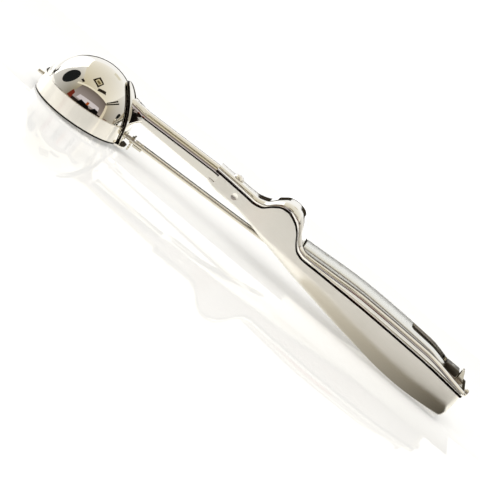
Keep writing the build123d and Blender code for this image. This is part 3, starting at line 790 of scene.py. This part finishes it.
def makeSaddle():
    bm = bmesh.new()
    skins = []
    for radius in (saddle["outer"], saddle["inner"]):
        rings = []
        for u in spread(0, 1, 18):
            side, height = saddle["reachSide"] * u, saddle["reachUp"] * u
            turns = arc(0, 360, 96)[:-1]
            rings.append([onDome(side * math.cos(a), height * math.sin(a), radius) for a in turns])
        skins.append(skinRings(bm, rings))
    joinRows(bm, skins[0][-1], skins[1][-1])
    plate = toMesh("saddlePlate", bm, pitchTurn)
    roundEdges(plate, saddle["edge"], 50, 3)
    shade(plate, mirror, 60)
    # Painted shade: the saddle plate's edge faces turn dark, for the shade in the gap at its edge
    sheet = (saddle["inner"] + 0.08, saddle["outer"] - 0.08)
    paintShade(plate, lambda x, y, z: sheet[0] < domeReach(onBowl(x, y, z)) < sheet[1])
    evenNormals(plate)
    finishPiece(plate, "frame", "polished_steel", "bowl_saddle")

    lip = bmesh.new()
    reach = saddle["outer"] + saddle["lipLength"]
    half, corner = saddle["lipHalf"], saddle["lipCorner"]
    front = rounded([(20, -half, 0), (reach, -half, corner), (reach, half, corner), (20, half, 0)], 10)
    back = [(math.sqrt(saddle["inner"] ** 2 - y**2) + 0.02, y) for y in spread(half, -half, 24)]
    low = -bowl["skirt"]
    prism(lip, [tuple(point) for point in front[1:-1]] + back, low, low + saddle["lipThick"])
    ledge = toMesh("saddleLedge", lip, pitchTurn)
    roundEdges(ledge, 0.3, 60, 3)
    shade(ledge, mirror)
    evenNormals(ledge)
    finishPiece(ledge, "frame", "polished_steel")


makeSaddle()
print("saddle made")


# Neck and shaft: a formed channel that flares into the saddle

neck = {
    "depth": 7.4,
    "rootTop": 17.6,
    "rootLow": -5.5,
    "rootWidth": 10.4,
    "footWidth": 24.0,
    "rootRound": 3.0,
    "rows": 16,
    "flare": 1.35,  # above 1 the sides curve in before they spread
}
shaftSizes = {
    "start": 26.0,
    "end": 84.0,
    "half": 4.25,
    "top": [(26, 17.0), (66, 18.87)],
    "low": [(26, 11.0), (84, 10.8)],
    "round": 3.9,
    "edge": 0.3,
    "underCrest": 0.93,  # inside the handle, just under its roof
}


def wedge(low, lowHalf, lowRound, top, topHalf, topRound):
    # An outline with four rounded corners, wider below than above or straight
    lower, upper = (low, lowRound), (top, topRound)
    return rounded([(-lowHalf, *lower), (lowHalf, *lower), (topHalf, *upper), (-topHalf, *upper)], 12)


def neckLines(grow):
    # Lines that run from inside the bowl to the shaft, one for each point of the outline
    low, top, bend = neck["rootLow"] - grow, neck["rootTop"] + grow, neck["rootRound"] + grow
    root = wedge(low, neck["footWidth"] / 2 + grow, bend, top, neck["rootWidth"] / 2 + grow, bend)
    low, top = shaftSizes["low"][0][1] - grow, shaftSizes["top"][0][1] + grow
    half, bend = shaftSizes["half"] + grow, shaftSizes["round"] + grow
    tail = wedge(low, half, bend / 3, top, half, bend)
    rootAt = saddle["outer"] - neck["depth"]
    lines = []
    for a, b in zip(root, tail):
        def point(t, a=a, b=b):
            spreadOut = (1 - t) ** neck["flare"]
            x = rootAt + (shaftSizes["start"] - rootAt) * t
            return Vector((x, b.x + (a.x - b.x) * spreadOut, b.y + (a.y - b.y) * spreadOut))
        near, far = 0.0, 1.0
        # Halving finds where the line leaves the saddle
        for _ in range(30):
            middle = (near + far) / 2
            if point(middle).length < saddle["outer"] - 0.15:
                near = middle
            else:
                far = middle
        lines.append([point(t) for t in spread(far, 1, neck["rows"])])
    return lines


def makeNeck():
    bm = bmesh.new()
    skins = []
    for grow in (0.0, -handle["sheet"]):
        lines = neckLines(grow)
        skins.append(skinRings(bm, [[line[k] for line in lines] for k in range(neck["rows"] + 1)]))
    for end in (0, -1):
        joinRows(bm, skins[0][end], skins[1][end])
    piece = toMesh("neckFlare", bm)
    shade(piece, crumpledMirror, 50)
    finishPiece(piece, "frame", "polished_steel", "neck")


def shaftRing(x):
    top = along(shaftSizes["top"], x) if x < handle["start"] else crest(x) - shaftSizes["underCrest"]
    low, half = along(shaftSizes["low"], x), shaftSizes["half"]
    bend, edge, t = shaftSizes["round"], shaftSizes["edge"], handle["sheet"]
    outline = rounded([
        (-half, low, edge), (-half, top, bend), (half, top, bend), (half, low, edge),
        (half - t, low, edge), (half - t, top - t, bend - t),
        (t - half, top - t, bend - t), (t - half, low, edge),
    ], 14)
    return [(x, p.x, p.y) for p in outline]


def makeShaft():
    rings = [shaftRing(x) for x in spread(shaftSizes["start"], shaftSizes["end"], 60)]
    piece = ringMesh("formedShaft", rings)
    shade(piece, shaftMirror, 35)
    evenNormals(piece)
    finishPiece(piece, "frame", "polished_steel", "shaft")


makeNeck()
makeShaft()
print("neck and shaft made")


# Lever bar and grip plate

bar = {
    "width": 5.0,
    "thickness": 1.8,
    "edge": 0.6,
    "bendStep": 0.8,
    "path": [(29.16, 1.528), (114.22, 5.986), (126.0, None), (142.0, None)],
    "underPlate": 2.13,
}
plate = {
    "start": 119.3,
    "end": 202.2,
    "sheet": 1.2,
    "flange": 4.2,
    "sideGap": 0.45,
    "shoulder": 0.8,
    "camber": 0.9,  # the fall from the middle to the shoulders
    "endRound": 3.0,
    "slotStart": 180.5,
    "slotHalf": 5.7,
    "slotRound": 2.2,
    "hookReach": 7.7,
    "hookEnd": 207.2,
    "hookTop": 11.9,
    "edge": 0.25,
}


def plateTop(x):
    return along(handle["plate"], x)


def makeBar():
    path = [Vector((x, plateTop(x) - bar["underPlate"] if z is None else z)) for x, z in bar["path"]]
    rings = []
    half, thick = bar["width"] / 2, bar["thickness"] / 2
    outline = strip(half, thick, bar["edge"], 4)
    for i, here in enumerate(path):
        before = (here - path[max(i - 1, 0)]).normalized() if i else (path[1] - here).normalized()
        after = (path[i + 1] - here).normalized() if i + 1 < len(path) else before
        # At a bend the ring leans half way, in three steps that round it
        steps = [before] if i in (0, len(path) - 1) else [before, (before + after).normalized(), after]
        for k, way in enumerate(steps):
            across = Vector((-way.y, way.x))
            middle = here + (way * (bar["bendStep"] * (k - 1)) if len(steps) == 3 else Vector((0, 0)))
            rings.append([(middle.x + across.x * v, u, middle.y + across.y * v) for u, v in outline])
    piece = ringMesh("leverBar", rings)
    shade(piece, plainSteel, 45)
    finishPiece(piece, "lever", "plain_steel", "lever_bar")


def trayMesh(name, start, end, shrink, bottom, endRound):
    # The tray's outline filled in: crowned across, with its rear corners rounded in plan
    rings = []
    stations = spread(start, end - endRound, 60)
    stations += [end - endRound + endRound * math.sin(a) for a in arc(0, 90, 9)[1:]]
    for x in stations:
        half = halfWidth(x) + rail["proud"] - rail["width"] - plate["sideGap"] - shrink
        past = max(x - (end - endRound), 0)
        half -= endRound - math.sqrt(max(endRound**2 - past**2, 0))
        top = plateTop(x) - shrink
        bend = max(plate["shoulder"] - shrink, 0.05)
        edge = top - plate["camber"]
        side = [(-half, top + shrink - bottom)]
        side += [(-half + bend - bend * math.cos(a), edge - bend + bend * math.sin(a)) for a in arc(0, 70, 5)]
        reach, low = -side[-1][0], side[-1][1]
        for share in spread(1, 0, 12)[1:]:
            side.append((-reach * share, top - (top - low) * share**2.4))
        rings.append(bothSides(x, side, 1))
    return ringMesh(name, rings)


def makePlate():
    piece = trayMesh("gripPlate", plate["start"], plate["end"], 0.0, plate["flange"], plate["endRound"])
    thick = plate["sheet"]
    inner = (plate["start"] - 1, plate["end"] - thick, thick, 12, plate["endRound"] - thick)
    cutWith(piece, trayMesh("trayInside", *inner))
    start, half, bend = plate["slotStart"], plate["slotHalf"], plate["slotRound"]
    slot = rounded([(start, -half, bend), (230, -half, 0), (230, half, 0), (start, half, bend)], 8)
    cutPrism(piece, slot, -5, 40)
    roundEdges(piece, plate["edge"], 50)
    shade(piece, satinPlate, 35)
    evenNormals(piece)
    finishPiece(piece, "lever", "satin_steel", "grip_plate")

    bm = bmesh.new()
    top, end = plate["hookTop"], plate["end"]
    for side in (-1, 1):
        sides = sorted((side * plate["slotHalf"], side * plate["hookReach"]))
        boxMesh(bm, (end - thick, plate["hookEnd"]), sides, (top - thick, top))
        boxMesh(bm, (end - thick, end), sides, (top - thick, plateTop(end) - thick / 2))
    hooks = toMesh("plateHooks", bm)
    roundEdges(hooks, 0.15, 60)
    shade(hooks, satinPlate, 35)
    finishPiece(hooks, "lever", "satin_steel")


makeBar()
makePlate()
print("lever bar and grip plate made")


# Return spring, clamp and bracket

leaf = {
    "start": 168.0,
    "end": 210.8,
    "shelf": 13.5,  # the height of its clamped end
    "thickness": 0.6,
    "width": 8.8,
    "edge": 0.12,
    "frameUpTo": 200.0,
    "leverFrom": 176.0,
}


def makeLeaf():
    under = plateTop(leaf["start"]) - plate["sheet"] - 0.6
    crown = plateTop(plate["slotStart"]) - plate["sheet"] - 0.9
    shelf = leaf["shelf"]
    points = [
        (leaf["start"] - 2, under), (leaf["start"], under), (182.5, crown),
        (192.0, 16.5), (198.5, 14.9), (203.2, shelf), (leaf["end"], shelf),
    ]
    rings = []
    outline = strip(leaf["width"] / 2, leaf["thickness"] / 2, leaf["edge"], 2)
    for x in spread(leaf["start"], leaf["end"], 60):
        z = along(points, x)
        slope = (along(points, x + 0.05) - along(points, x - 0.05)) / 0.1
        across = Vector((-slope, 1)).normalized()
        rings.append([(x + across.x * v, u, z + across.y * v) for u, v in outline])
    piece = ringMesh("leafSpring", rings)
    shade(piece, springSteel)
    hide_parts("leaf_spring")
    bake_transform(piece)


def copyNode(name, node):
    # A node's shape with its loose triangles merged and its flats made whole
    bm = bmesh.new()
    bm.from_mesh(nodes[node].data)
    bmesh.ops.remove_doubles(bm, verts=bm.verts, dist=0.000002)
    bmesh.ops.dissolve_limit(bm, angle_limit=math.radians(1.0), verts=bm.verts, edges=bm.edges)
    return addPiece(name, bm)


def makeBracket():
    for name, node, material, slot, width in (
        ("rearBracket", "rear_bracket", plainSteel, "plain_steel", 0.18),
        # The spring clamp is darkened with painted shade
        ("springClamp", "spring_clamp", shadedClampSteel, "plain_steel", 0.2),
    ):
        piece = copyNode(name, node)
        roundEdges(piece, width, 35)
        shade(piece, material, 35)
        evenNormals(piece)
        finishPiece(piece, "frame", slot, node)


makeLeaf()
makeBracket()
print("spring, clamp and bracket made")


# Rivets and pins

rivets = {
    "dome": {
        "at": 76.8, "radius": 2.9, "height": 1.7, "shank": 1.5, "footRadius": 1.9, "foot": (-3.6, -3.1),
    },
    "end": {
        "x": 217.8, "z": 10.6, "collar": 1.1, "collarRadius": 1.2,
        "radius": 1.75, "height": 1.5, "round": 0.6,
    },
    "pivot": {"radius": 1.5, "x": 108.0, "z": 10.0, "short": 0.45},
}


def rivetTree():
    # Squashed heads on both ends of a row of shanks
    sizes = {"Radius": 1.0, "Head": 1.0, "Head Height": 1.0, "Length": 1.0, "Spacing": 1.0}
    tree, source = nodeTree("rivet row", sizes)
    out = source.outputs
    size = {"Radius": out["Radius"], "Depth": out["Length"]}
    shank = addNode(tree, "GeometryNodeMeshCylinder", {"Vertices": 24}, size)
    ball = addNode(tree, "GeometryNodeMeshUVSphere", {"Segments": 28, "Rings": 14}, {"Radius": out["Head"]})
    squash = addNode(tree, "ShaderNodeMath", {"operation": "DIVIDE"}, {0: out["Head Height"], 1: out["Head"]})
    flat = addNode(tree, "ShaderNodeCombineXYZ", {0: 1.0, 1: 1.0}, {2: squash})
    parts = [shank]
    for half in (0.5, -0.5):
        reach = addNode(tree, "ShaderNodeMath", {"operation": "MULTIPLY", 1: half}, {0: out["Length"]})
        lift = addNode(tree, "ShaderNodeCombineXYZ", {}, {2: reach})
        links = {"Geometry": ball, "Translation": lift, "Scale": flat}
        parts.append(addNode(tree, "GeometryNodeTransform", {}, links))
    one = addNode(tree, "GeometryNodeJoinGeometry")
    for part in parts:
        tree.links.new(part.outputs[0], one.inputs[0])
    gap = addNode(tree, "ShaderNodeCombineXYZ", {}, {0: out["Spacing"]})
    back = addNode(tree, "ShaderNodeMath", {"operation": "MULTIPLY", 1: -0.5}, {0: out["Spacing"]})
    first = addNode(tree, "ShaderNodeCombineXYZ", {}, {0: back})
    line = addNode(tree, "GeometryNodeMeshLine", {"Count": 2}, {"Start Location": first, "Offset": gap})
    row = addNode(tree, "GeometryNodeInstanceOnPoints", {}, {"Points": line, "Instance": one})
    endTree(tree, source, row)
    return tree


def makeRivets():
    tree = rivetTree()
    # Each row: its node, the middle of its stack in the bowl's frame, and radius, head, length, spacing
    pitchedRows = {
        "rackRivets": ("rack_rivets", (31.6, 0, -0.5), 0.6, 1.02, 2.8, 2.2),
        "hingeRivets": ("hinge_rivets", (108.375, 0, 0.5), 0.8, 1.36, 2.8, 6.0),
    }
    for name, (node, place, radius, head, length, spacing) in pitchedRows.items():
        sizes = {"Radius": radius, "Head": head, "Head Height": 0.5, "Length": length, "Spacing": spacing}
        piece = runTree(name, tree, sizes, turnedSteel, pitchTurn @ Matrix.Translation(place))
        shade(piece, turnedSteel)
        finishPiece(piece, "lever", "turned_steel", node)

    dome = rivets["dome"]
    seat = crest(dome["at"] - dome["radius"]) + 0.03
    ball = (dome["radius"] ** 2 + dome["height"] ** 2) / (2 * dome["height"])
    reach = math.asin(dome["radius"] / ball)
    low = seat + dome["height"] - ball
    cap = [(ball * math.sin(a), low + ball * math.cos(a)) for a in spread(reach, 0, 12)]
    foot, (under, over) = dome["footRadius"], dome["foot"]
    profile = [(0, seat + under), (foot, seat + under), (foot, seat + over), (dome["shank"], seat + over)]
    profile += [(dome["shank"], seat - 0.25), (dome["radius"] - 0.12, seat - 0.25)]
    profile.append((dome["radius"], seat - 0.1))
    piece = turned("shaftRivet", profile + cap, at=dome["at"], steps=64)
    shade(piece, mirror)
    finishPiece(piece, "frame", "polished_steel", "shaft_rivet")

    end = rivets["end"]
    start, bend = end["collar"], end["round"]
    tip, flat = start + end["height"], end["radius"] - bend
    outline = [(0, -0.6), (0.9, -0.6), (0.9, 0), (end["collarRadius"], 0), (end["collarRadius"], start)]
    outline += [(end["radius"] - 0.15, start), (end["radius"], start + 0.15)]
    outline += [(flat + bend * math.cos(a), tip - bend + bend * math.sin(a)) for a in arc(0, 90, 6)]
    lay = Matrix.Translation((end["x"], 0, end["z"])) @ alongX
    piece = turned("endRivet", outline + [(0, tip)], lay)
    shade(piece, turnedSteel)
    finishPiece(piece, "frame", "turned_steel", "end_rivet")

    pivot = rivets["pivot"]
    reach = halfWidth(pivot["x"]) - pivot["short"]
    profile = [(0, -reach), (pivot["radius"], -reach), (pivot["radius"], reach), (0, reach)]
    lay = Matrix.Translation((pivot["x"], 0, pivot["z"])) @ Matrix.Rotation(math.radians(90), 4, "X")
    piece = turned("pivotPin", profile, lay)
    shade(piece, turnedSteel)
    finishPiece(piece, "frame", "turned_steel", "pivot_pin")


makeRivets()
print("rivets and pins made")


# Floor, backdrop and light

studio = {
    "aim": (95.1, 0.0, 0.0),
    "lift": -2.2,
    "elevation": 14.0,
    "roll": 39.8,
    "distance": 800.0,
    "frameWidth": 221.0,
    "roomLight": 1.0,
    "backdrop": 1.0,
}
# The room that the polished metal mirrors, in millimetres from the object
room = {
    "turn": 8.0,
    "front": 900.0,
    "right": 1000.0,
    "left": 900.0,
    "back": 1500.0,
    "height": 1150.0,
    "dado": 210.0,
    "screenAt": 300.0,
    "screenSeenWithin": 0.332,
    "windowStrength": 1.6,
}


def glowMaterial(name):
    # Light of the colour that is painted on the card's corners
    material = bpy.data.materials.new(name)
    material.use_nodes = True
    tree = material.node_tree
    tree.nodes.clear()
    paint = addNode(tree, "ShaderNodeAttribute", {"attribute_name": "glow"}).outputs["Color"]
    glow = addNode(tree, "ShaderNodeEmission", {}, {"Color": paint})
    addNode(tree, "ShaderNodeOutputMaterial", {}, {"Surface": glow})
    return material, paint, glow


cardPaint = glowMaterial("painted studio card")[0]


def screenMaterial():
    # A screen that is dark only from near: further along the floor it mirrors as white
    material, paint, glow = glowMaterial("painted studio screen")
    tree = material.node_tree
    length = addNode(tree, "ShaderNodeLightPath").outputs["Ray Length"]
    limit = {"operation": "GREATER_THAN", 1: room["screenSeenWithin"]}
    far = addNode(tree, "ShaderNodeMath", limit, {0: length})
    tone = addNode(tree, "ShaderNodeMix", {"data_type": "RGBA", 7: (1, 1, 1, 1)}, {0: far, 6: paint})
    tree.links.new(tone.outputs[2], glow.inputs["Color"])
    return material


def card(name, corners, colors, strength=1.0, material=None):
    # A card that only mirrors see; one colour, or one for each corner
    bm = bmesh.new()
    paint = bm.verts.layers.float_color.new("glow")
    points = []
    for i, corner in enumerate(corners):
        point = bm.verts.new(Vector(corner) * 0.001)
        tone = hexColor(colors if isinstance(colors, str) else colors[i])
        point[paint] = (*[channel * strength for channel in tone[:3]], 1.0)
        points.append(point)
    bm.faces.new(points)
    piece = addPiece(name, bm)
    piece.data.materials.append(material or cardPaint)
    piece.visible_camera = piece.visible_diffuse = piece.visible_shadow = piece.visible_transmission = False


def toward(azimuth, elevation):
    a, e = math.radians(azimuth), math.radians(elevation)
    return Vector((math.sin(a) * math.cos(e), -math.cos(a) * math.cos(e), math.sin(e)))


def inRoom(x, y, z):
    # Room coordinates: x to the right, y towards the front wall
    a = math.radians(room["turn"])
    return Vector((x * math.cos(a) + y * math.sin(a), x * math.sin(a) - y * math.cos(a), z))


def hitRoom(azimuth, elevation, nearer):
    # Where a direction meets the walls or the ceiling, a little in front of them
    way = toward(azimuth, elevation)
    turn = math.radians(room["turn"])
    x = way.x * math.cos(turn) + way.y * math.sin(turn)
    y = way.x * math.sin(turn) - way.y * math.cos(turn)
    reach = [room["height"] / way.z] if way.z > 0.001 else []
    reach += [room["right"] / x] if x > 0.001 else [room["left"] / -x] if x < -0.001 else []
    reach += [room["front"] / y] if y > 0.001 else [room["back"] / -y] if y < -0.001 else []
    return way * min(reach) * nearer


def spot(name, azimuth, elevation, wide, tall, color, nearer):
    # A round shape, its two radii in degrees
    out = toward(azimuth, elevation)
    right = Vector((math.cos(math.radians(azimuth)), math.sin(math.radians(azimuth)), 0))
    up = right.cross(out) if right.cross(out).z > 0 else out.cross(right)
    reach = hitRoom(azimuth, elevation, nearer).length
    right, up = right * math.tan(math.radians(wide)), up * math.tan(math.radians(tall))
    card(name, [(out + right * math.cos(a) + up * math.sin(a)) * reach for a in arc(0, 360, 28)[:-1]], color)


def makeRoom():
    left, right, front, back = -room["left"], room["right"], room["front"], -room["back"]
    top, dado = room["height"], room["dado"]
    ceiling = [(left, front, top), (right, front, top), (right, back, top), (left, back, top)]
    card("ceiling", [inRoom(*corner) for corner in ceiling], ["#c9be9f", "#efe9da", "#ffffff", "#f7f3e8"])
    # Each wall: its two ends, its lower and upper edge, and one colour or one for each corner
    walls = {
        "frontWall": ((left, front), (right, front), dado, top, ["#a69c9a", "#8f847e", "#62574f", "#6f655c"]),
        "frontLow": ((left, front), (right, front), 0, dado, "#2a211c"),
        "rightWall": ((right, front), (right, back), 0, top, ["#8d8370", "#efeade", "#ffffff", "#b9af99"]),
        "leftWall": ((left, front), (left, -front), 0, top, ["#6f6650", "#ffffff", "#ffffff", "#b3a98f"]),
    }
    for name, (first, last, low, high, colors) in walls.items():
        corners = [(*first, low), (*last, low), (*last, high), (*first, high)]
        card(name, [inRoom(*corner) for corner in corners], colors)
    # Shapes on the walls and the ceiling: colour, share of the way to the wall, and corners as directions
    shapes = {
        "window": ("#ffffff", 0.97, [(-104, 2), (-150, 2), (-148, 32), (-112, 50), (-100, 34)]),
        "cornice": (
            "#f0e8d4", 0.97,
            [(-50, 33), (-15, 50), (32, 50), (55, 42), (57, 45.5), (32, 54), (-15, 54), (-53, 36)],
        ),
        "column": ("#ddd2bb", 0.94, [(50, -1), (58, -1), (61, 36), (55, 38)]),
        "shelf": ("#d3ccd0", 0.94, [(-24, 14), (40, 16), (38, 26), (-22, 24)]),
        "clutter0": ("#0d0b0a", 0.92, [(-20, 0), (14, 0), (12, 15), (-12, 18)]),
        "clutter1": ("#0f0d0c", 0.92, [(16, 3), (42, 3), (40, 17), (28, 20), (18, 12)]),
        "clutter2": ("#6d2a1c", 0.92, [(-44, 4), (-32, 4), (-33, 19), (-41, 21)]),
        "clutter3": ("#a0532c", 0.91, [(2, 16), (9, 16), (9, 24), (3, 23)]),
        "clutter4": ("#5d2a1d", 0.92, [(60, -1), (73, -1), (72, 8), (62, 9)]),
        "frameOuter": ("#2b2316", 0.96, [(-49, 64.5), (-88, 78.5), (18, 81), (-1, 63.5)]),
        "frameInner": ("#cfc4a2", 0.95, [(-42, 69), (-62, 77), (0, 79), (-8, 69)]),
        "frameCore": ("#6d5f3f", 0.94, [(-38, 71), (-46, 75.5), (-8, 77), (-12, 71)]),
        "vent": ("#2a241b", 0.96, [(6, 57.5), (4, 64.5), (47, 66.5), (47, 58.5)]),
        "sensor": ("#1d1813", 0.96, [(-57, 43), (-57, 48), (-45, 49), (-45, 44)]),
        "doorway": ("#1c1a15", 0.9, [(-110, -6), (-121, -6), (-119, 9), (-109, 7)]),
        "track0": ("#17130e", 0.9, [(56, 41), (56, 43.2), (104, 46.8), (104, 44)]),
        "track1": ("#17130e", 0.9, [(56, 37.6), (56, 39.8), (106, 41.9), (106, 39.4)]),
        "grille": ("#dfdac8", 0.96, [(-177, 52), (168, 50), (170, 40), (-176, 42)]),
    }
    for name, (color, nearer, places) in shapes.items():
        corners = [hitRoom(azimuth, elevation, nearer) for azimuth, elevation in places]
        card(name, corners, color, room["windowStrength"] if name == "window" else 1.0)
    spot("umbrella", -77, 27, 13.5, 16, "#1d1f20", 0.8)
    spot("lampHead", 105, 13.5, 10, 12, "#191b18", 0.6)
    # Painted shade: a dark card for the shaded floor close to the grip, darkest towards its rear, which only
    # the grip's underside mirrors
    card("gripShade", [(30, -5, 0.4), (128, -5, 0.4), (128, -42, 0.4), (30, -42, 0.4)],
         ["#d8d2c4", "#2e281e", "#5b5343", "#e8e4da"])
    at = room["screenAt"]
    card("backScreen", [(-700, at, 30), (700, at, 30), (700, at, 91), (-700, at, 91)],
         ["#2b261d", "#2b261d", "#39332a", "#39332a"], 1.0, screenMaterial())


makeRoom()


def directSight(tree):
    # 1 for rays from the camera or from a mirror, and 0 for the rest
    rays = addNode(tree, "ShaderNodeLightPath").outputs
    links = {0: rays["Is Camera Ray"], 1: rays["Is Glossy Ray"]}
    return addNode(tree, "ShaderNodeMath", {"operation": "MAXIMUM"}, links)


def makeFloor():
    bm = bmesh.new()
    bm.faces.new([bm.verts.new(c) for c in ((-3, -3, 0), (3, -3, 0), (3, 3, 0), (-3, 3, 0))])
    floor = addPiece("floor", bm)
    # Glossy white acrylic, a little brighter behind the object
    material, tree, shader = newMaterial("white acrylic floor")
    shader.inputs["Base Color"].default_value = hexColor("#e8e8e6")
    shader.inputs["Roughness"].default_value = 0.03
    shader.inputs["IOR"].default_value = 1.42
    place = addNode(tree, "ShaderNodeTexCoord").outputs["Object"]
    apart = addNode(tree, "ShaderNodeSeparateXYZ", {}, {0: place})
    lift = addNode(
        tree, "ShaderNodeMapRange", {"From Min": -0.045, "From Max": -0.005, "To Min": 0.02, "To Max": 0.27},
        {"Value": apart.outputs["Y"]},
    )
    scaled = addNode(tree, "ShaderNodeMath", {"operation": "MULTIPLY"}, {0: directSight(tree), 1: lift})
    shader.inputs["Emission Color"].default_value = (1, 1, 1, 1)
    tree.links.new(scaled.outputs[0], shader.inputs["Emission Strength"])
    floor.data.materials.append(material)


makeFloor()


def makeWorld():
    world = bpy.data.worlds.new("studio")
    world.use_nodes = True
    tree = world.node_tree
    tree.nodes.clear()
    # White for the camera and for mirrors, and the room's light for the rest
    shares = {"To Min": studio["roomLight"], "To Max": studio["backdrop"]}
    strength = addNode(tree, "ShaderNodeMapRange", shares, {"Value": directSight(tree)})
    back = addNode(tree, "ShaderNodeBackground", {"Color": (1, 1, 1, 1)}, {"Strength": strength})
    addNode(tree, "ShaderNodeOutputWorld", {}, {"Surface": back})
    bpy.context.scene.world = world


makeWorld()


def softLamp(name, place, size, power):
    light = bpy.data.lights.new(name, "AREA")
    light.energy = power
    light.size = size
    light.color = hexColor("#fffaf2")[:3]
    lamp = bpy.data.objects.new(name, light)
    lamp.location = Vector(place)
    lamp.rotation_euler = (-Vector(place)).to_track_quat("-Z", "Y").to_euler()
    lamp.visible_glossy = False
    bpy.context.scene.collection.objects.link(lamp)


softLamp("topSoftbox", (0.1, -0.1, 0.9), 0.7, 3.0)
softLamp("leftSoftbox", (-0.7, -0.5, 0.5), 0.5, 1.5)


def makeCamera():
    tilt = math.radians(studio["elevation"])
    roll = math.radians(studio["roll"])
    right = Vector((1, 0, 0))
    forward = Vector((0, math.cos(tilt), -math.sin(tilt)))
    up = Vector((0, math.sin(tilt), math.cos(tilt)))
    aim = toFrame(*studio["aim"]) + up * studio["lift"] * 0.001
    camRight = right * math.cos(roll) + up * math.sin(roll)
    camUp = up * math.cos(roll) - right * math.sin(roll)
    place = aim - forward * studio["distance"] * 0.001
    data = bpy.data.cameras.new("camera")
    data.sensor_width = 36
    data.lens = 36 * studio["distance"] / studio["frameWidth"]
    data.clip_start = 0.01
    camera = bpy.data.objects.new("camera", data)
    turn = Matrix((camRight, camUp, -forward)).transposed().to_4x4()
    camera.matrix_world = Matrix.Translation(place) @ turn
    bpy.context.scene.collection.objects.link(camera)
    bpy.context.scene.camera = camera


makeCamera()
bpy.context.scene.view_settings.view_transform = "Standard"
print("studio made")
